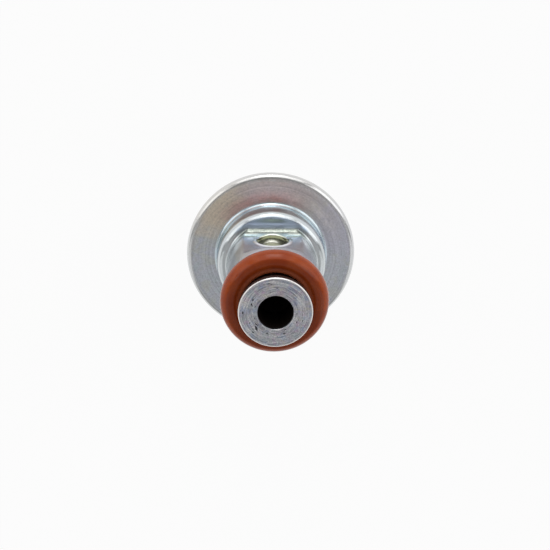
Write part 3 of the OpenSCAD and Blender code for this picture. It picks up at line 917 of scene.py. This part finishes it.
def new_group(name, inputs, outputs):
    """A shader node group with float inputs and their defaults, and outputs of the given kinds."""
    tree = bpy.data.node_groups.new(name, "ShaderNodeTree")
    for socket, default in inputs.items():
        made = tree.interface.new_socket(name=socket, in_out="INPUT", socket_type="NodeSocketFloat")
        made.default_value = default
    for socket, kind in outputs.items():
        tree.interface.new_socket(name=socket, in_out="OUTPUT", socket_type="NodeSocket" + kind)
    return Tree(tree), tree.nodes.new("NodeGroupInput").outputs, tree.nodes.new("NodeGroupOutput").inputs


def make_turned_place():
    """Where a point lies about the axis: the point and its radius in millimetres, and its angle."""
    outputs = {"Point": "Vector", "Radius": "Float", "Angle": "Float"}
    tree, _, out = new_group("Turned place", {}, outputs)
    place = tree.add("ShaderNodeTexCoord").outputs["Object"]
    point = tree.add("ShaderNodeVectorMath", {0: place, 3: 1 / MM}, operation="SCALE").outputs[0]
    x, y, _ = tree.split(point)
    tree.set(out["Point"], point)
    tree.set(out["Radius"], tree.math("SQRT", tree.math("ADD", tree.times(x, x), tree.times(y, y))))
    tree.set(out["Angle"], tree.math("ARCTAN2", y, x))


# Place in the ramp and colour of each tint that the film passes through as it grows thicker
FILM_STOPS = [
    (0.05, (0.55, 0.62, 0.70)),
    (0.24, (0.62, 0.66, 0.68)),
    (0.40, (0.66, 0.62, 0.71)),
    (0.54, (0.67, 0.65, 0.55)),
    (0.68, (0.68, 0.59, 0.51)),
    (0.82, (0.68, 0.51, 0.48)),
    (0.96, (0.58, 0.55, 0.66)),
]
FINE_PATCHES = 6.0
FILM_SPAN = 18.0


def make_film():
    """Interference tints of a thin passivation film, which drift over the plate in soft patches."""
    inputs = {"Patch": 6.0, "Bias": 0.5, "Tilt": 0.2}
    tree, given, out = new_group("Passivation film", inputs, {"Color": "Color"})
    point = tree.group("Turned place")["Point"]
    _, y, _ = tree.split(point)
    scale = tree.math("DIVIDE", 1, given["Patch"])
    broad = tree.noise(point, scale, detail=2, distortion=0.6)
    fine = tree.noise(point, tree.times(scale, FINE_PATCHES))
    film = tree.plus(given["Bias"], tree.minus(broad, 0.5), 1.1)
    film = tree.plus(film, tree.minus(fine, 0.5), 0.22)
    film = tree.plus(film, tree.times(y, -1 / FILM_SPAN), given["Tilt"])
    tree.set(out["Color"], tree.ramp(film, FILM_STOPS))


def make_plate_grain():
    """Fine grain of zinc plate with sparse brighter grains: a height, and a mask of the bright grains."""
    tree, given, out = new_group("Plate grain", {"Size": 0.25}, {"Height": "Float", "Grains": "Float"})
    point = tree.group("Turned place")["Point"]
    scale = tree.math("DIVIDE", 1, given["Size"])
    fine = tree.noise(point, scale, detail=4, roughness=0.7)
    coarse = tree.noise(point, tree.times(scale, 0.35), detail=2)
    tree.set(out["Height"], tree.plus(fine, coarse, 0.6))
    tree.set(out["Grains"], tree.spread(fine, 0.62, 0.78))


def make_ring_marks():
    """Marks that run round the axis: a height that changes with radius and height, and slowly round."""
    tree, given, out = new_group("Ring marks", {"Pitch": 0.2, "Break": 0.6}, {"Height": "Float"})
    at = surface_place(tree)
    scale = tree.math("DIVIDE", 1, given["Pitch"])
    turn = tree.times(at.angle, given["Break"])
    vector = tree.combine(tree.times(at.radius, scale), tree.times(at.z, scale), turn)
    tree.set(out["Height"], tree.noise(vector, 1, roughness=0.6))


def surface_place(tree):
    """Where a point of the surface lies, in millimetres."""
    place = tree.group("Turned place")
    x, y, z = tree.split(place["Point"])
    return SimpleNamespace(
        point=place["Point"], x=x, y=y, z=z, radius=place["Radius"], angle=place["Angle"])


def new_material(name):
    """A new material's Tree, the inputs of its Principled shader, and the place of its surface."""
    material = bpy.data.materials.new(name)
    material.use_nodes = True
    tree = Tree(material.node_tree)
    return tree, material.node_tree.nodes["Principled BSDF"].inputs, surface_place(tree)


def dress(tree, shader, colour, roughness, relief, depth):
    """Joins a finish's colour, its roughness and its relief, with a depth in millimetres, to the shader."""
    tree.set(shader["Base Color"], colour)
    tree.set(shader["Roughness"], roughness)
    tree.set(shader["Normal"], tree.bump(relief, depth * MM))


def side_mask(tree, at, compass, width):
    """A mask that is 1 on the side at a compass angle from -Y towards +X, and fades over the width."""
    turn = math.radians(compass)
    along = tree.plus(tree.times(at.y, -math.cos(turn)), at.x, math.sin(turn))
    wander = tree.minus(tree.noise(at.point, 0.4), 0.5)
    facing = tree.plus(tree.math("DIVIDE", along, at.radius), wander, 0.16)
    return tree.spread(facing, math.cos(math.radians(width)), 1)


# Colour, compass angle, width and strength of the broad tints round the flange
FLANGE_TINTS = [
    ("warm", 5, 75, 0.75),
    ("sand", 47, 30, 0.9),
    ("violet", -68, 28, 0.6),
]


def flange_film(tree, at, c, s):
    """Tints of the flat flange by side and by distance from the shoulder, with pale grains that are painted
    glints, and a speckle.
    """
    out = tree.minus(at.radius, s.shoulder_radius)
    sides = [(getattr(c, tint), side_mask(tree, at, compass, width), strength)
             for tint, compass, width, strength in FLANGE_TINTS]
    pink = tree.times(side_mask(tree, at, 10, 52), tree.spread(out, 3.95, 0.95))
    # Where the painted glints go: one side of the flange, some way out from the shoulder
    dust = tree.times(side_mask(tree, at, -40, 34), tree.band(out, 1.15, 2.15, 2.95, 4.15))
    grains = tree.plus(tree.times(at.blotch, 0.45), at.grain["Grains"], 0.6)
    tinted = tree.layers(
        tree.mix(0.36, (*c.steel_blue, 1), at.film),
        *sides,
        (c.pink, pink, tree.plus(0.75, at.blotch, 0.35)),
        # painted glints as pale grains
        (c.dust, tree.math("MULTIPLY", dust, grains, clamp=True)),
    )
    speckle = tree.plus(1, tree.minus(at.grain["Height"], 0.8), 0.95)
    return tree.shade(tinted, tree.plus(speckle, tree.minus(at.rings, 0.5), 0.75))


def drawn_film(tree, at, c, s):
    """Tints of the shoulder and neck by height over the step, with the hollow, part film tint and part
    painted dark reflection, the flat, and the hole with a painted highlight on its lip.
    """
    up = tree.minus(at.z, s.step_z)
    wall = tree.times(tree.spread(at.z, s.flange_z + 0.6, s.flange_z + 1.2), tree.spread(up, -1.6, -2.2))
    foot = tree.times(at.front, tree.band(up, -0.2, 0.05, 0.7, 1.1))
    flat = tree.times(tree.spread(up, 1.9, 3.1), tree.plus(0.5, at.blotch, 0.5))
    blush = tree.times(flat, side_mask(tree, at, -32, 18), tree.spread(up, 3.6, 6.1))
    inward = tree.math("ADD", at.y, s.flat_radius)
    hole_wall = tree.spread(at.radius, s.flat_radius + 0.55, s.flat_radius + 0.35)
    hole_wall = tree.times(hole_wall, tree.spread(inward, 0.01, 0.08), tree.spread(at.y, 0.2, -0.2))
    return tree.layers(
        tree.mix(0.18, (*c.teal, 1), at.film),
        (c.shoulder, wall, 0.7),
        (c.zinc, tree.spread(up, -2.0, -0.9), 0.6),
        (c.pale_green, at.front, tree.band(up, 0.7, 1.1, 1.8, 2.6), 0.9),
        (c.green, foot, 0.9),
        (c.worn, foot, tree.patches(at.point, 3.0, 0.42, 0.62, roughness=0.7), 0.7),
        (c.violet, flat, tree.plus(0.2, at.front, 0.5)),
        (c.pink, blush, 0.16),
        # blue film tint that is also a painted dark reflection in the hollow
        (c.hollow, at.hollow, 0.9),
        # painted highlight on the inlet hole's lip
        (c.lip, at.lip, tree.spread(inward, 0.12, 0.05), 0.8),
        (c.olive, hole_wall, 0.8),
    )


def housing_relief(tree, at, s):
    """Heights of the plate's grain, the ring marks, the hollow's lines and the drawn walls' streaks."""
    pressed = tree.combine(tree.times(at.x, 0.12), tree.times(at.y, 4.5), tree.times(at.z, 4.5))
    in_hollow = tree.times(at.front, tree.spread(at.z, s.step_z - 0.6, s.step_z - 0.2))
    pressed = tree.times(tree.noise(pressed, 1, detail=2), in_hollow)
    pulled = tree.combine(tree.times(at.angle, 60), tree.times(at.z, 0.12), 0)
    pulled = tree.times(tree.noise(pulled, 1), at.drawn)
    wave = tree.times(tree.noise(at.point, 0.55, detail=1), at.drawn)
    relief = tree.times(at.grain["Height"], tree.plus(0.05, at.satin, 0.9))
    relief = tree.plus(relief, at.rings, tree.plus(0.12, at.satin, 0.3))
    for layer, weight in ((pressed, 1.6), (at.lip, 12), (pulled, 0.5), (wave, 4.0)):
        relief = tree.plus(relief, layer, weight)
    return relief


def plated_housing(name, c, sizes):
    """Zinc plate with a tinted film: satin on the flange, burnished and streaked on the drawn walls."""
    s = in_mm(sizes)
    tree, shader, at = new_material(name)
    at.film = tree.group("Passivation film", Patch=3.2, Bias=0.42, Tilt=0.1)["Color"]
    at.grain = tree.group("Plate grain", Size=0.15)
    at.rings = tree.group("Ring marks", Pitch=0.22, Break=0.5)["Height"]
    at.blotch = tree.patches(at.point, 0.55, 0.35, 0.65)
    flange = tree.spread(at.radius, s.shoulder_radius + 0.45, s.shoulder_radius + 0.7)
    rim = tree.spread(at.radius, s.rim_radius - 1.25, s.rim_radius - 0.8)
    at.satin = tree.times(flange, tree.minus(1, rim))
    at.drawn = tree.minus(1, flange)
    at.front = tree.spread(tree.math("DIVIDE", at.y, at.radius), -0.62, -0.80)
    # The hollow's outer part: it gets a blue tint that is partly a painted dark reflection, and a rougher
    # finish
    at.hollow = tree.times(at.front, tree.spread(at.z, s.step_z + 0.15, s.step_z - 0.15),
                           tree.spread(at.radius, s.neck_radius + 1.5, s.neck_radius + 1.1))
    rise = tree.minus(at.z, s.inlet_z)
    off_hole = tree.math("SQRT", tree.plus(tree.times(at.x, at.x), rise, rise))
    # The lip round the hole's nose side: it raises the lip's relief, and carries the painted highlight in
    # drawn_film
    lip = tree.spread(off_hole, s.inlet_radius + s.lip_width, s.inlet_radius + 0.2)
    at.lip = tree.times(lip, at.front, tree.spread(rise, -s.lip_start, -s.lip_full))
    tinted = tree.mix(flange, drawn_film(tree, at, c, s), flange_film(tree, at, c, s))
    smear = tree.patches(at.point, 0.45, 0.3, 0.7, to_low=0.15, to_high=0.26)
    rough = tree.plus(tree.plus(smear, at.satin, 0.15), at.hollow, 0.14)
    dress(tree, shader, tree.layers(tinted, (c.zinc, rim, 0.8)), rough, housing_relief(tree, at, s), 0.011)
    shader["Metallic"].default_value = 1


def plated_sheet(name, zinc, tint, bias, satin_from):
    """Zinc plate with a tinted film: satin beyond a radius, burnished where the sheet was drawn."""
    tree, shader, at = new_material(name)
    film = tree.group("Passivation film", Patch=7.0, Bias=bias, Tilt=0.24)["Color"]
    grain = tree.group("Plate grain", Size=0.16)["Height"]
    rings = tree.group("Ring marks", Pitch=0.22, Break=0.5)["Height"]
    satin = tree.spread(at.radius, satin_from, satin_from + 0.5)
    smear = tree.patches(at.point, 0.35, 0.3, 0.7, to_low=0.12, to_high=0.2, detail=3)
    relief = tree.plus(tree.times(grain, tree.plus(0.08, satin, 0.9)), rings, 0.25)
    dress(tree, shader, tree.mix(tint, (*zinc, 1), film), tree.plus(smear, satin, 0.19), relief, 0.012)
    shader["Metallic"].default_value = 1


def turned_steel(name, c, sizes):
    """Plated turned steel: tool marks and tints on the nose, with a painted highlight on the collar's edge
    and painted shade in the pits and below the face, an olive film in the neck with a painted highlight
    ring, and painted shade in the bore.
    """
    s = in_mm(sizes)
    neck_end_z, _, body_z = nozzle_levels(s)
    tree, shader, at = new_material(name)
    film = tree.group("Passivation film", Patch=1.3, Bias=0.33, Tilt=0.1)["Color"]
    rings = tree.group("Ring marks", Pitch=0.11, Break=2.4)["Height"]
    broad = tree.group("Ring marks", Pitch=0.42, Break=1.3)["Height"]
    grain = tree.group("Plate grain", Size=0.10)["Height"]
    up = tree.minus(at.z, s.nose_z)
    out = tree.minus(at.radius, s.collar_radius)
    # Mask of the pits' bottoms, where the painted shade goes
    pit = tree.spread(up, -0.45 * s.pit_depth, -0.9 * s.pit_depth)
    in_neck = tree.spread(at.z, *(neck_end_z + step for step in IN_NECK))
    # Band round the body's foot where the painted highlight ring goes
    ring = tree.band(at.z, *(body_z + step for step in FOOT_RING_HIGHLIGHT))
    # Mask of the outlet bore's wall, which gets a painted shade
    bore = tree.spread(at.radius, s.bore_radius + 0.2, s.bore_radius + 0.1)
    bore = tree.times(bore, tree.spread(up, -0.2, -0.9))
    tinted = tree.layers(
        tree.mix(0.8, (*c.turned, 1), film),
        (c.mauve, tree.patches(at.point, 0.9, 0.52, 0.66), 0.65),
        (c.blue, tree.patches(tree.combine(at.y, at.z, at.x), 0.7, 0.50, 0.64), 0.6),
        (c.mark, tree.spread(rings, 0.44, 0.66, to_high=0.72)),
    )
    tinted = tree.shade(tinted, tree.spread(grain, 0.5, 1.1, to_low=0.7, to_high=1.15))
    tinted = tree.layers(
        tinted,
        (c.burnish, tree.spread(broad, 0.50, 0.64), tree.spread(grain, 0.6, 0.95), 0.85),
        (c.fleck, tree.spread(grain, 0.9, 1.02), tree.spread(at.y, 1.0, 4.5)),
        # painted shade in the pits' bottoms
        (c.pit, pit, tree.spread(up, -0.12, -0.09), tree.spread(out, -0.45, -0.5)),
        # painted highlight on the collar's chamfer
        (c.collar_edge, tree.spread(out, -0.32, -0.18), 0.8),
        # painted shade on the collar's side and on everything below the nose's face
        (c.collar_side, tree.spread(up, -0.17, -0.26)),
        (c.olive, in_neck),
        # painted highlight ring round the body's foot
        (c.foot_ring, ring),
        # painted shade in the outlet bore
        (c.bore, bore),
    )
    rough = tree.plus(tree.plus(tree.plus(0.20, grain, 0.15), ring, -0.06), bore, 0.3)
    dress(tree, shader, tinted, rough, tree.plus(rings, broad, 1.5), 0.02)
    dull = tree.times(in_neck, tree.plus(0.9, ring, -0.55))
    tree.set(shader["Metallic"], tree.minus(1, dull))


def moulded_rubber(name, c, sizes):
    """Satin red-brown rubber with painted shade on its crest and painted light on its inner side, a soft
    bloom, fine moulding lines and specks.
    """
    s = in_mm(sizes)
    half = s.section / 2
    tree, shader, at = new_material(name)
    grain = tree.group("Plate grain", Size=0.09)["Height"]
    rings = tree.group("Ring marks", Pitch=0.14, Break=0.35)["Height"]
    bloom = tree.patches(at.point, 0.3, 0.35, 0.7)
    # The ring's crest, which faces up and gets a painted shade
    crest = tree.spread(at.z, s.centre_z + 0.80 * half, s.centre_z + 0.92 * half)
    # The ring's inner side, which gets painted light
    inside = tree.spread(at.radius, s.outer_radius - 1.25 * half, s.outer_radius - 1.6 * half)
    rubber = tree.layers(
        (*c.seal, 1),
        (c.seal_light, bloom),
        # painted shade on the crest
        (c.seal_crest, crest, 0.42),
        # painted light on the inner side
        (c.seal_inside, inside, 0.7),
        (c.seal_speck, tree.patches(at.point, 5.0, 0.72, 0.8, to_high=0.3, detail=2)),
    )
    relief = tree.plus(tree.times(grain, 0.35), rings, 0.8)
    dress(tree, shader, rubber, tree.plus(0.11, bloom, 0.06), relief, 0.010)
    shader["IOR"].default_value = 1.33


def machined_metal(name, tint, dark, pitch, roughness):
    """Turned or ground metal with marks round the axis and a faint tarnish."""
    tree, shader, at = new_material(name)
    rings = tree.group("Ring marks", Pitch=pitch, Break=0.7)["Height"]
    tarnish = tree.patches(at.point, 0.6, 0.4, 0.75, to_high=0.6)
    rough = tree.plus(roughness, rings, 0.2)
    dress(tree, shader, tree.layers((*tint, 1), (dark, tarnish)), rough, rings, 0.01)
    shader["Metallic"].default_value = 1


def fabric_rubber(name, tint, weave_tint):
    """Black rubber pressed on a fabric, whose weave shows through."""
    tree, shader, at = new_material(name)
    threads = [tree.add("ShaderNodeTexWave", {"Vector": at.point, "Scale": 0.9}, bands_direction=axis)
               for axis in "XY"]
    weave = tree.times(*(thread.outputs["Fac"] for thread in threads))
    rough = tree.spread(weave, 0, 1, to_low=0.5, to_high=0.65)
    dress(tree, shader, tree.layers((*tint, 1), (weave_tint, weave, 0.5)), rough, weave, 0.03)


def stage_floor(name, tint, grain_tint, shadow):
    """Pale floor that shows white to the camera and in reflections, and keeps part of its own shade."""
    tree, shader, at = new_material(name)
    tree.set(shader["Base Color"], tree.layers((*tint, 1), (grain_tint, tree.noise(at.point, 0.04), 0.04)))
    shader["Roughness"].default_value = 0.9
    shader["Specular IOR Level"].default_value = 0
    path = tree.add("ShaderNodeLightPath").outputs
    seen = tree.math("MAXIMUM", path["Is Glossy Ray"], path["Is Transmission Ray"])
    seen = tree.math("MAXIMUM", path["Is Camera Ray"], seen)
    white = tree.add("ShaderNodeEmission", {"Color": (1, 1, 1, 1), "Strength": 1})
    both = tree.add("ShaderNodeMixShader", {0: tree.times(seen, 1 - shadow)})
    tree.set(both.inputs[1], tree.tree.nodes["Principled BSDF"].outputs[0])
    tree.set(both.inputs[2], white.outputs[0])
    tree.set(tree.tree.nodes["Material Output"].inputs["Surface"], both.outputs[0])


def make_finishes(scene):
    """Builds the shared node groups once, and every finish."""
    make_turned_place()
    make_film()
    make_plate_grain()
    make_ring_marks()
    colours = scene.regulator_colours
    c = SimpleNamespace(**{name: tuple(getattr(colours, name)) for name in colours.__annotations__})
    plated_housing("housing_plate", c, scene.regulator_housing)
    plated_sheet("cover_plate", c.zinc, tint=0.30, bias=0.35, satin_from=13.2)
    plated_sheet("pressed_plate", c.zinc, tint=0.15, bias=0.30, satin_from=20.0)
    turned_steel("nozzle_steel", c, scene.regulator_nozzle)
    moulded_rubber("seal_moulding", c, scene.regulator_seal)
    fabric_rubber("diaphragm_fabric", c.rubber, c.weave)
    machined_metal("turned_brass", c.brass, c.brass_dark, pitch=0.12, roughness=0.22)
    machined_metal("ground_steel", c.steel, c.steel_dark, pitch=0.05, roughness=0.12)
    machined_metal("spring_wire", c.wire, c.wire_dark, pitch=0.3, roughness=0.25)


# Operators


class REGULATOR_OT_finishes(bpy.types.Operator):
    """Builds the finishes that the pieces wear"""

    bl_idname = "regulator.finishes"
    bl_label = "Finishes"

    def execute(self, context):
        make_finishes(context.scene)
        return {"FINISHED"}


class REGULATOR_OT_housing(bpy.types.Operator):
    """Models the drawn housing with its rolled rim and inlet hole"""

    bl_idname = "regulator.housing"
    bl_label = "Drawn housing"

    def execute(self, context):
        piece = make_housing(context.scene.regulator_housing)
        finish_piece(piece, "lower_housing", "regulator", "housing_plate")
        return {"FINISHED"}


class REGULATOR_OT_cover(bpy.types.Operator):
    """Models the drawn spring cover with its dimple and vent hole"""

    bl_idname = "regulator.cover"
    bl_label = "Spring cover"

    def execute(self, context):
        piece = make_cover(context.scene.regulator_cover)
        finish_piece(piece, "spring_cover", "regulator", "cover_plate")
        return {"FINISHED"}


class REGULATOR_OT_nozzle(bpy.types.Operator):
    """Models the turned outlet nozzle with its tool marks"""

    bl_idname = "regulator.nozzle"
    bl_label = "Outlet nozzle"

    def execute(self, context):
        piece = make_nozzle(context.scene.regulator_nozzle)
        finish_piece(piece, "outlet_nozzle", "regulator", "nozzle_steel")
        return {"FINISHED"}


class REGULATOR_OT_seal(bpy.types.Operator):
    """Models the rubber seal ring"""

    bl_idname = "regulator.seal"
    bl_label = "Seal ring"

    def execute(self, context):
        piece = make_seal(context.scene.regulator_seal)
        finish_piece(piece, "nose_seal", "regulator", "seal_moulding")
        return {"FINISHED"}


class REGULATOR_OT_springs(bpy.types.Operator):
    """Winds the main spring and the small spring under the valve ball"""

    bl_idname = "regulator.springs"
    bl_label = "Springs"

    def execute(self, context):
        s = in_mm(context.scene.regulator_springs)
        main = make_coil("pressure_spring", (SPRING_LOW, SPRING_HIGH), s.wire, turns=5.5, steps=48)
        finish_piece(main, "main_spring", "regulator", "spring_wire")
        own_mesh(main)
        ball_box = (BALL_SPRING_LOW, BALL_SPRING_HIGH)
        ball = make_coil("ball_cushion_spring", ball_box, s.ball_wire, turns=4, steps=32)
        finish_piece(ball, "ball_spring", "valve", "spring_wire")
        return {"FINISHED"}


class REGULATOR_OT_diaphragm(bpy.types.Operator):
    """Models the diaphragm in two halves that meet at the bottom of its rolling fold"""

    bl_idname = "regulator.diaphragm"
    bl_label = "Diaphragm"

    def execute(self, context):
        sizes = context.scene.regulator_springs
        outer = make_diaphragm_half("diaphragm_rim", sizes, outer=True)
        finish_piece(outer, "diaphragm", "regulator", "diaphragm_fabric")
        inner = make_diaphragm_half("diaphragm_centre", sizes, outer=False)
        finish_piece(inner, "diaphragm", None, "diaphragm_fabric")
        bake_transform(inner)
        return {"FINISHED"}


VALVE_FINISHES = {
    "valve_seat": "ground_steel",
    "valve_ball": "ground_steel",
    "valve_plate": "ground_steel",
    "valve_retainer": "ground_steel",
    "valve_holder": "turned_brass",
    "support_plate": "pressed_plate",
}


class REGULATOR_OT_valve(bpy.types.Operator):
    """Gives the turned and pressed pieces of the valve their finishes"""

    bl_idname = "regulator.valve"
    bl_label = "Valve pieces"

    def execute(self, context):
        for node, finish in VALVE_FINISHES.items():
            for slot in frame["nodes"][node].material_slots:
                slot.material = bpy.data.materials[finish]
        return {"FINISHED"}


class REGULATOR_OT_stage(bpy.types.Operator):
    """Sets the floor, the surroundings and the camera"""

    bl_idname = "regulator.stage"
    bl_label = "Stage"

    def execute(self, context):
        stage = context.scene.regulator_stage
        make_floor(stage, context.scene.regulator_colours)
        make_surroundings(stage)
        make_camera(stage)
        context.scene.view_settings.view_transform = "Standard"
        return {"FINISHED"}


FLOOR_RADIUS = 3


def make_floor(stage, colours):
    """A wide round floor under the regulator's end."""
    bpy.ops.object.select_all(action="DESELECT")
    bpy.ops.mesh.primitive_circle_add(vertices=64, radius=FLOOR_RADIUS, fill_type="NGON")
    floor = bpy.context.object
    floor.name = "floor"
    stage_floor("stage_floor", tuple(colours.floor), tuple(colours.floor_grain), stage.shadow)
    floor.data.materials.append(bpy.data.materials["stage_floor"])


# Compass angle from -Y towards +X, half width, lowest and highest elevation, soft edge and brightness
# of each bright panel, with the angles in degrees
PANELS = [
    (0, 34, -12, 47, 4, 1.45),
    (0, 12, -8, 28, 4, 3.6),
    (118, 18, 14, 55, 5, 0.85),
    (-118, 18, 14, 55, 5, 0.95),
    (180, 80, 40, 95, 12, 0.50),
    (62, 20, 8, 55, 4, 1.35),
    (-62, 21, 8, 58, 4, 1.6),
]

# Elevations between which the pale horizon fades out, and angles over which the dark patch behind the
# camera fades in
HORIZON_FADE = (6, 20)
LENS_PATCH = (26, 12)


def make_surroundings(stage):
    """A soft room with a pale horizon, bright panels and a darker patch behind the camera.

    The camera itself sees white."""
    world = bpy.data.worlds.new("soft_room")
    bpy.context.scene.world = world
    world.use_nodes = True
    tree = Tree(world.node_tree)
    toward = tree.add("ShaderNodeTexCoord").outputs["Generated"]
    x, y, z = tree.split(toward)
    compass = tree.math("DEGREES", tree.math("ARCTAN2", x, tree.times(y, -1)))
    lift = tree.math("DEGREES", tree.math("ARCSINE", z))
    level = tree.spread(lift, *HORIZON_FADE, stage.horizon, stage.room)
    camera_side = Vector(stage.camera_place).normalized()
    facing = tree.add("ShaderNodeVectorMath", {0: toward, 1: camera_side}, operation="DOT_PRODUCT")
    patch = tree.spread(facing.outputs["Value"], *(math.cos(math.radians(angle)) for angle in LENS_PATCH))
    level = tree.plus(level, patch, stage.lens_side - stage.room)
    for centre, half_width, low, high, soft, brightness in PANELS:
        off = tree.math("ABSOLUTE", tree.minus(compass, centre))
        off = tree.math("MINIMUM", off, tree.minus(360, off))
        inside = tree.spread(off, half_width + soft, half_width - soft)
        panel = tree.times(inside, tree.band(lift, low - soft, low + soft, high - soft, high + soft))
        level = tree.math("MAXIMUM", level, tree.times(panel, brightness))
    seen = tree.add("ShaderNodeLightPath").outputs["Is Camera Ray"]
    level = tree.math("MAXIMUM", tree.times(level, tree.minus(1, seen)), seen)
    background = tree.tree.nodes["Background"].inputs
    tree.set(background["Strength"], level)
    background["Color"].default_value = (1, 1, 1, 1)


SENSOR_WIDTH = 36
CLIP_START = 0.01


def make_camera(stage):
    """The camera, high on the inlet hole's side and turned so that this side is up in the picture."""
    bpy.ops.object.select_all(action="DESELECT")
    bpy.ops.object.camera_add(location=stage.camera_place, rotation=Euler(stage.camera_turn))
    camera = bpy.context.object
    camera.name = "camera"
    camera.data.lens = stage.lens
    camera.data.sensor_width = SENSOR_WIDTH
    camera.data.clip_start = CLIP_START
    bpy.context.scene.camera = camera


class REGULATOR_PT_parts(bpy.types.Panel):
    """Lists the regulator's sizes and the tools that build it"""

    bl_label = "Fuel pressure regulator"
    bl_idname = "REGULATOR_PT_parts"
    bl_space_type = "VIEW_3D"
    bl_region_type = "UI"
    bl_category = "Regulator"

    def draw(self, context):
        for operator in OPERATORS:
            self.layout.operator(operator.bl_idname)
        for name, group in GROUPS.items():
            box = self.layout.box()
            box.label(text=group.__doc__)
            for prop in group.__annotations__:
                box.prop(getattr(context.scene, name), prop)


OPERATORS = [REGULATOR_OT_finishes, REGULATOR_OT_stage, REGULATOR_OT_housing, REGULATOR_OT_cover,
             REGULATOR_OT_nozzle, REGULATOR_OT_seal, REGULATOR_OT_springs, REGULATOR_OT_diaphragm,
             REGULATOR_OT_valve]
CLASSES = [*GROUPS.values(), *OPERATORS, REGULATOR_PT_parts]


def register():
    for cls in CLASSES:
        bpy.utils.register_class(cls)
    for name, group in GROUPS.items():
        setattr(bpy.types.Scene, name, PointerProperty(type=group))


def unregister():
    for name in GROUPS:
        delattr(bpy.types.Scene, name)
    for cls in reversed(CLASSES):
        bpy.utils.unregister_class(cls)


def main():
    register()
    for operator in OPERATORS:
        family, name = operator.bl_idname.split(".")
        getattr(getattr(bpy.ops, family), name)()
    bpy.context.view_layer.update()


if __name__ == "__main__":
    main()
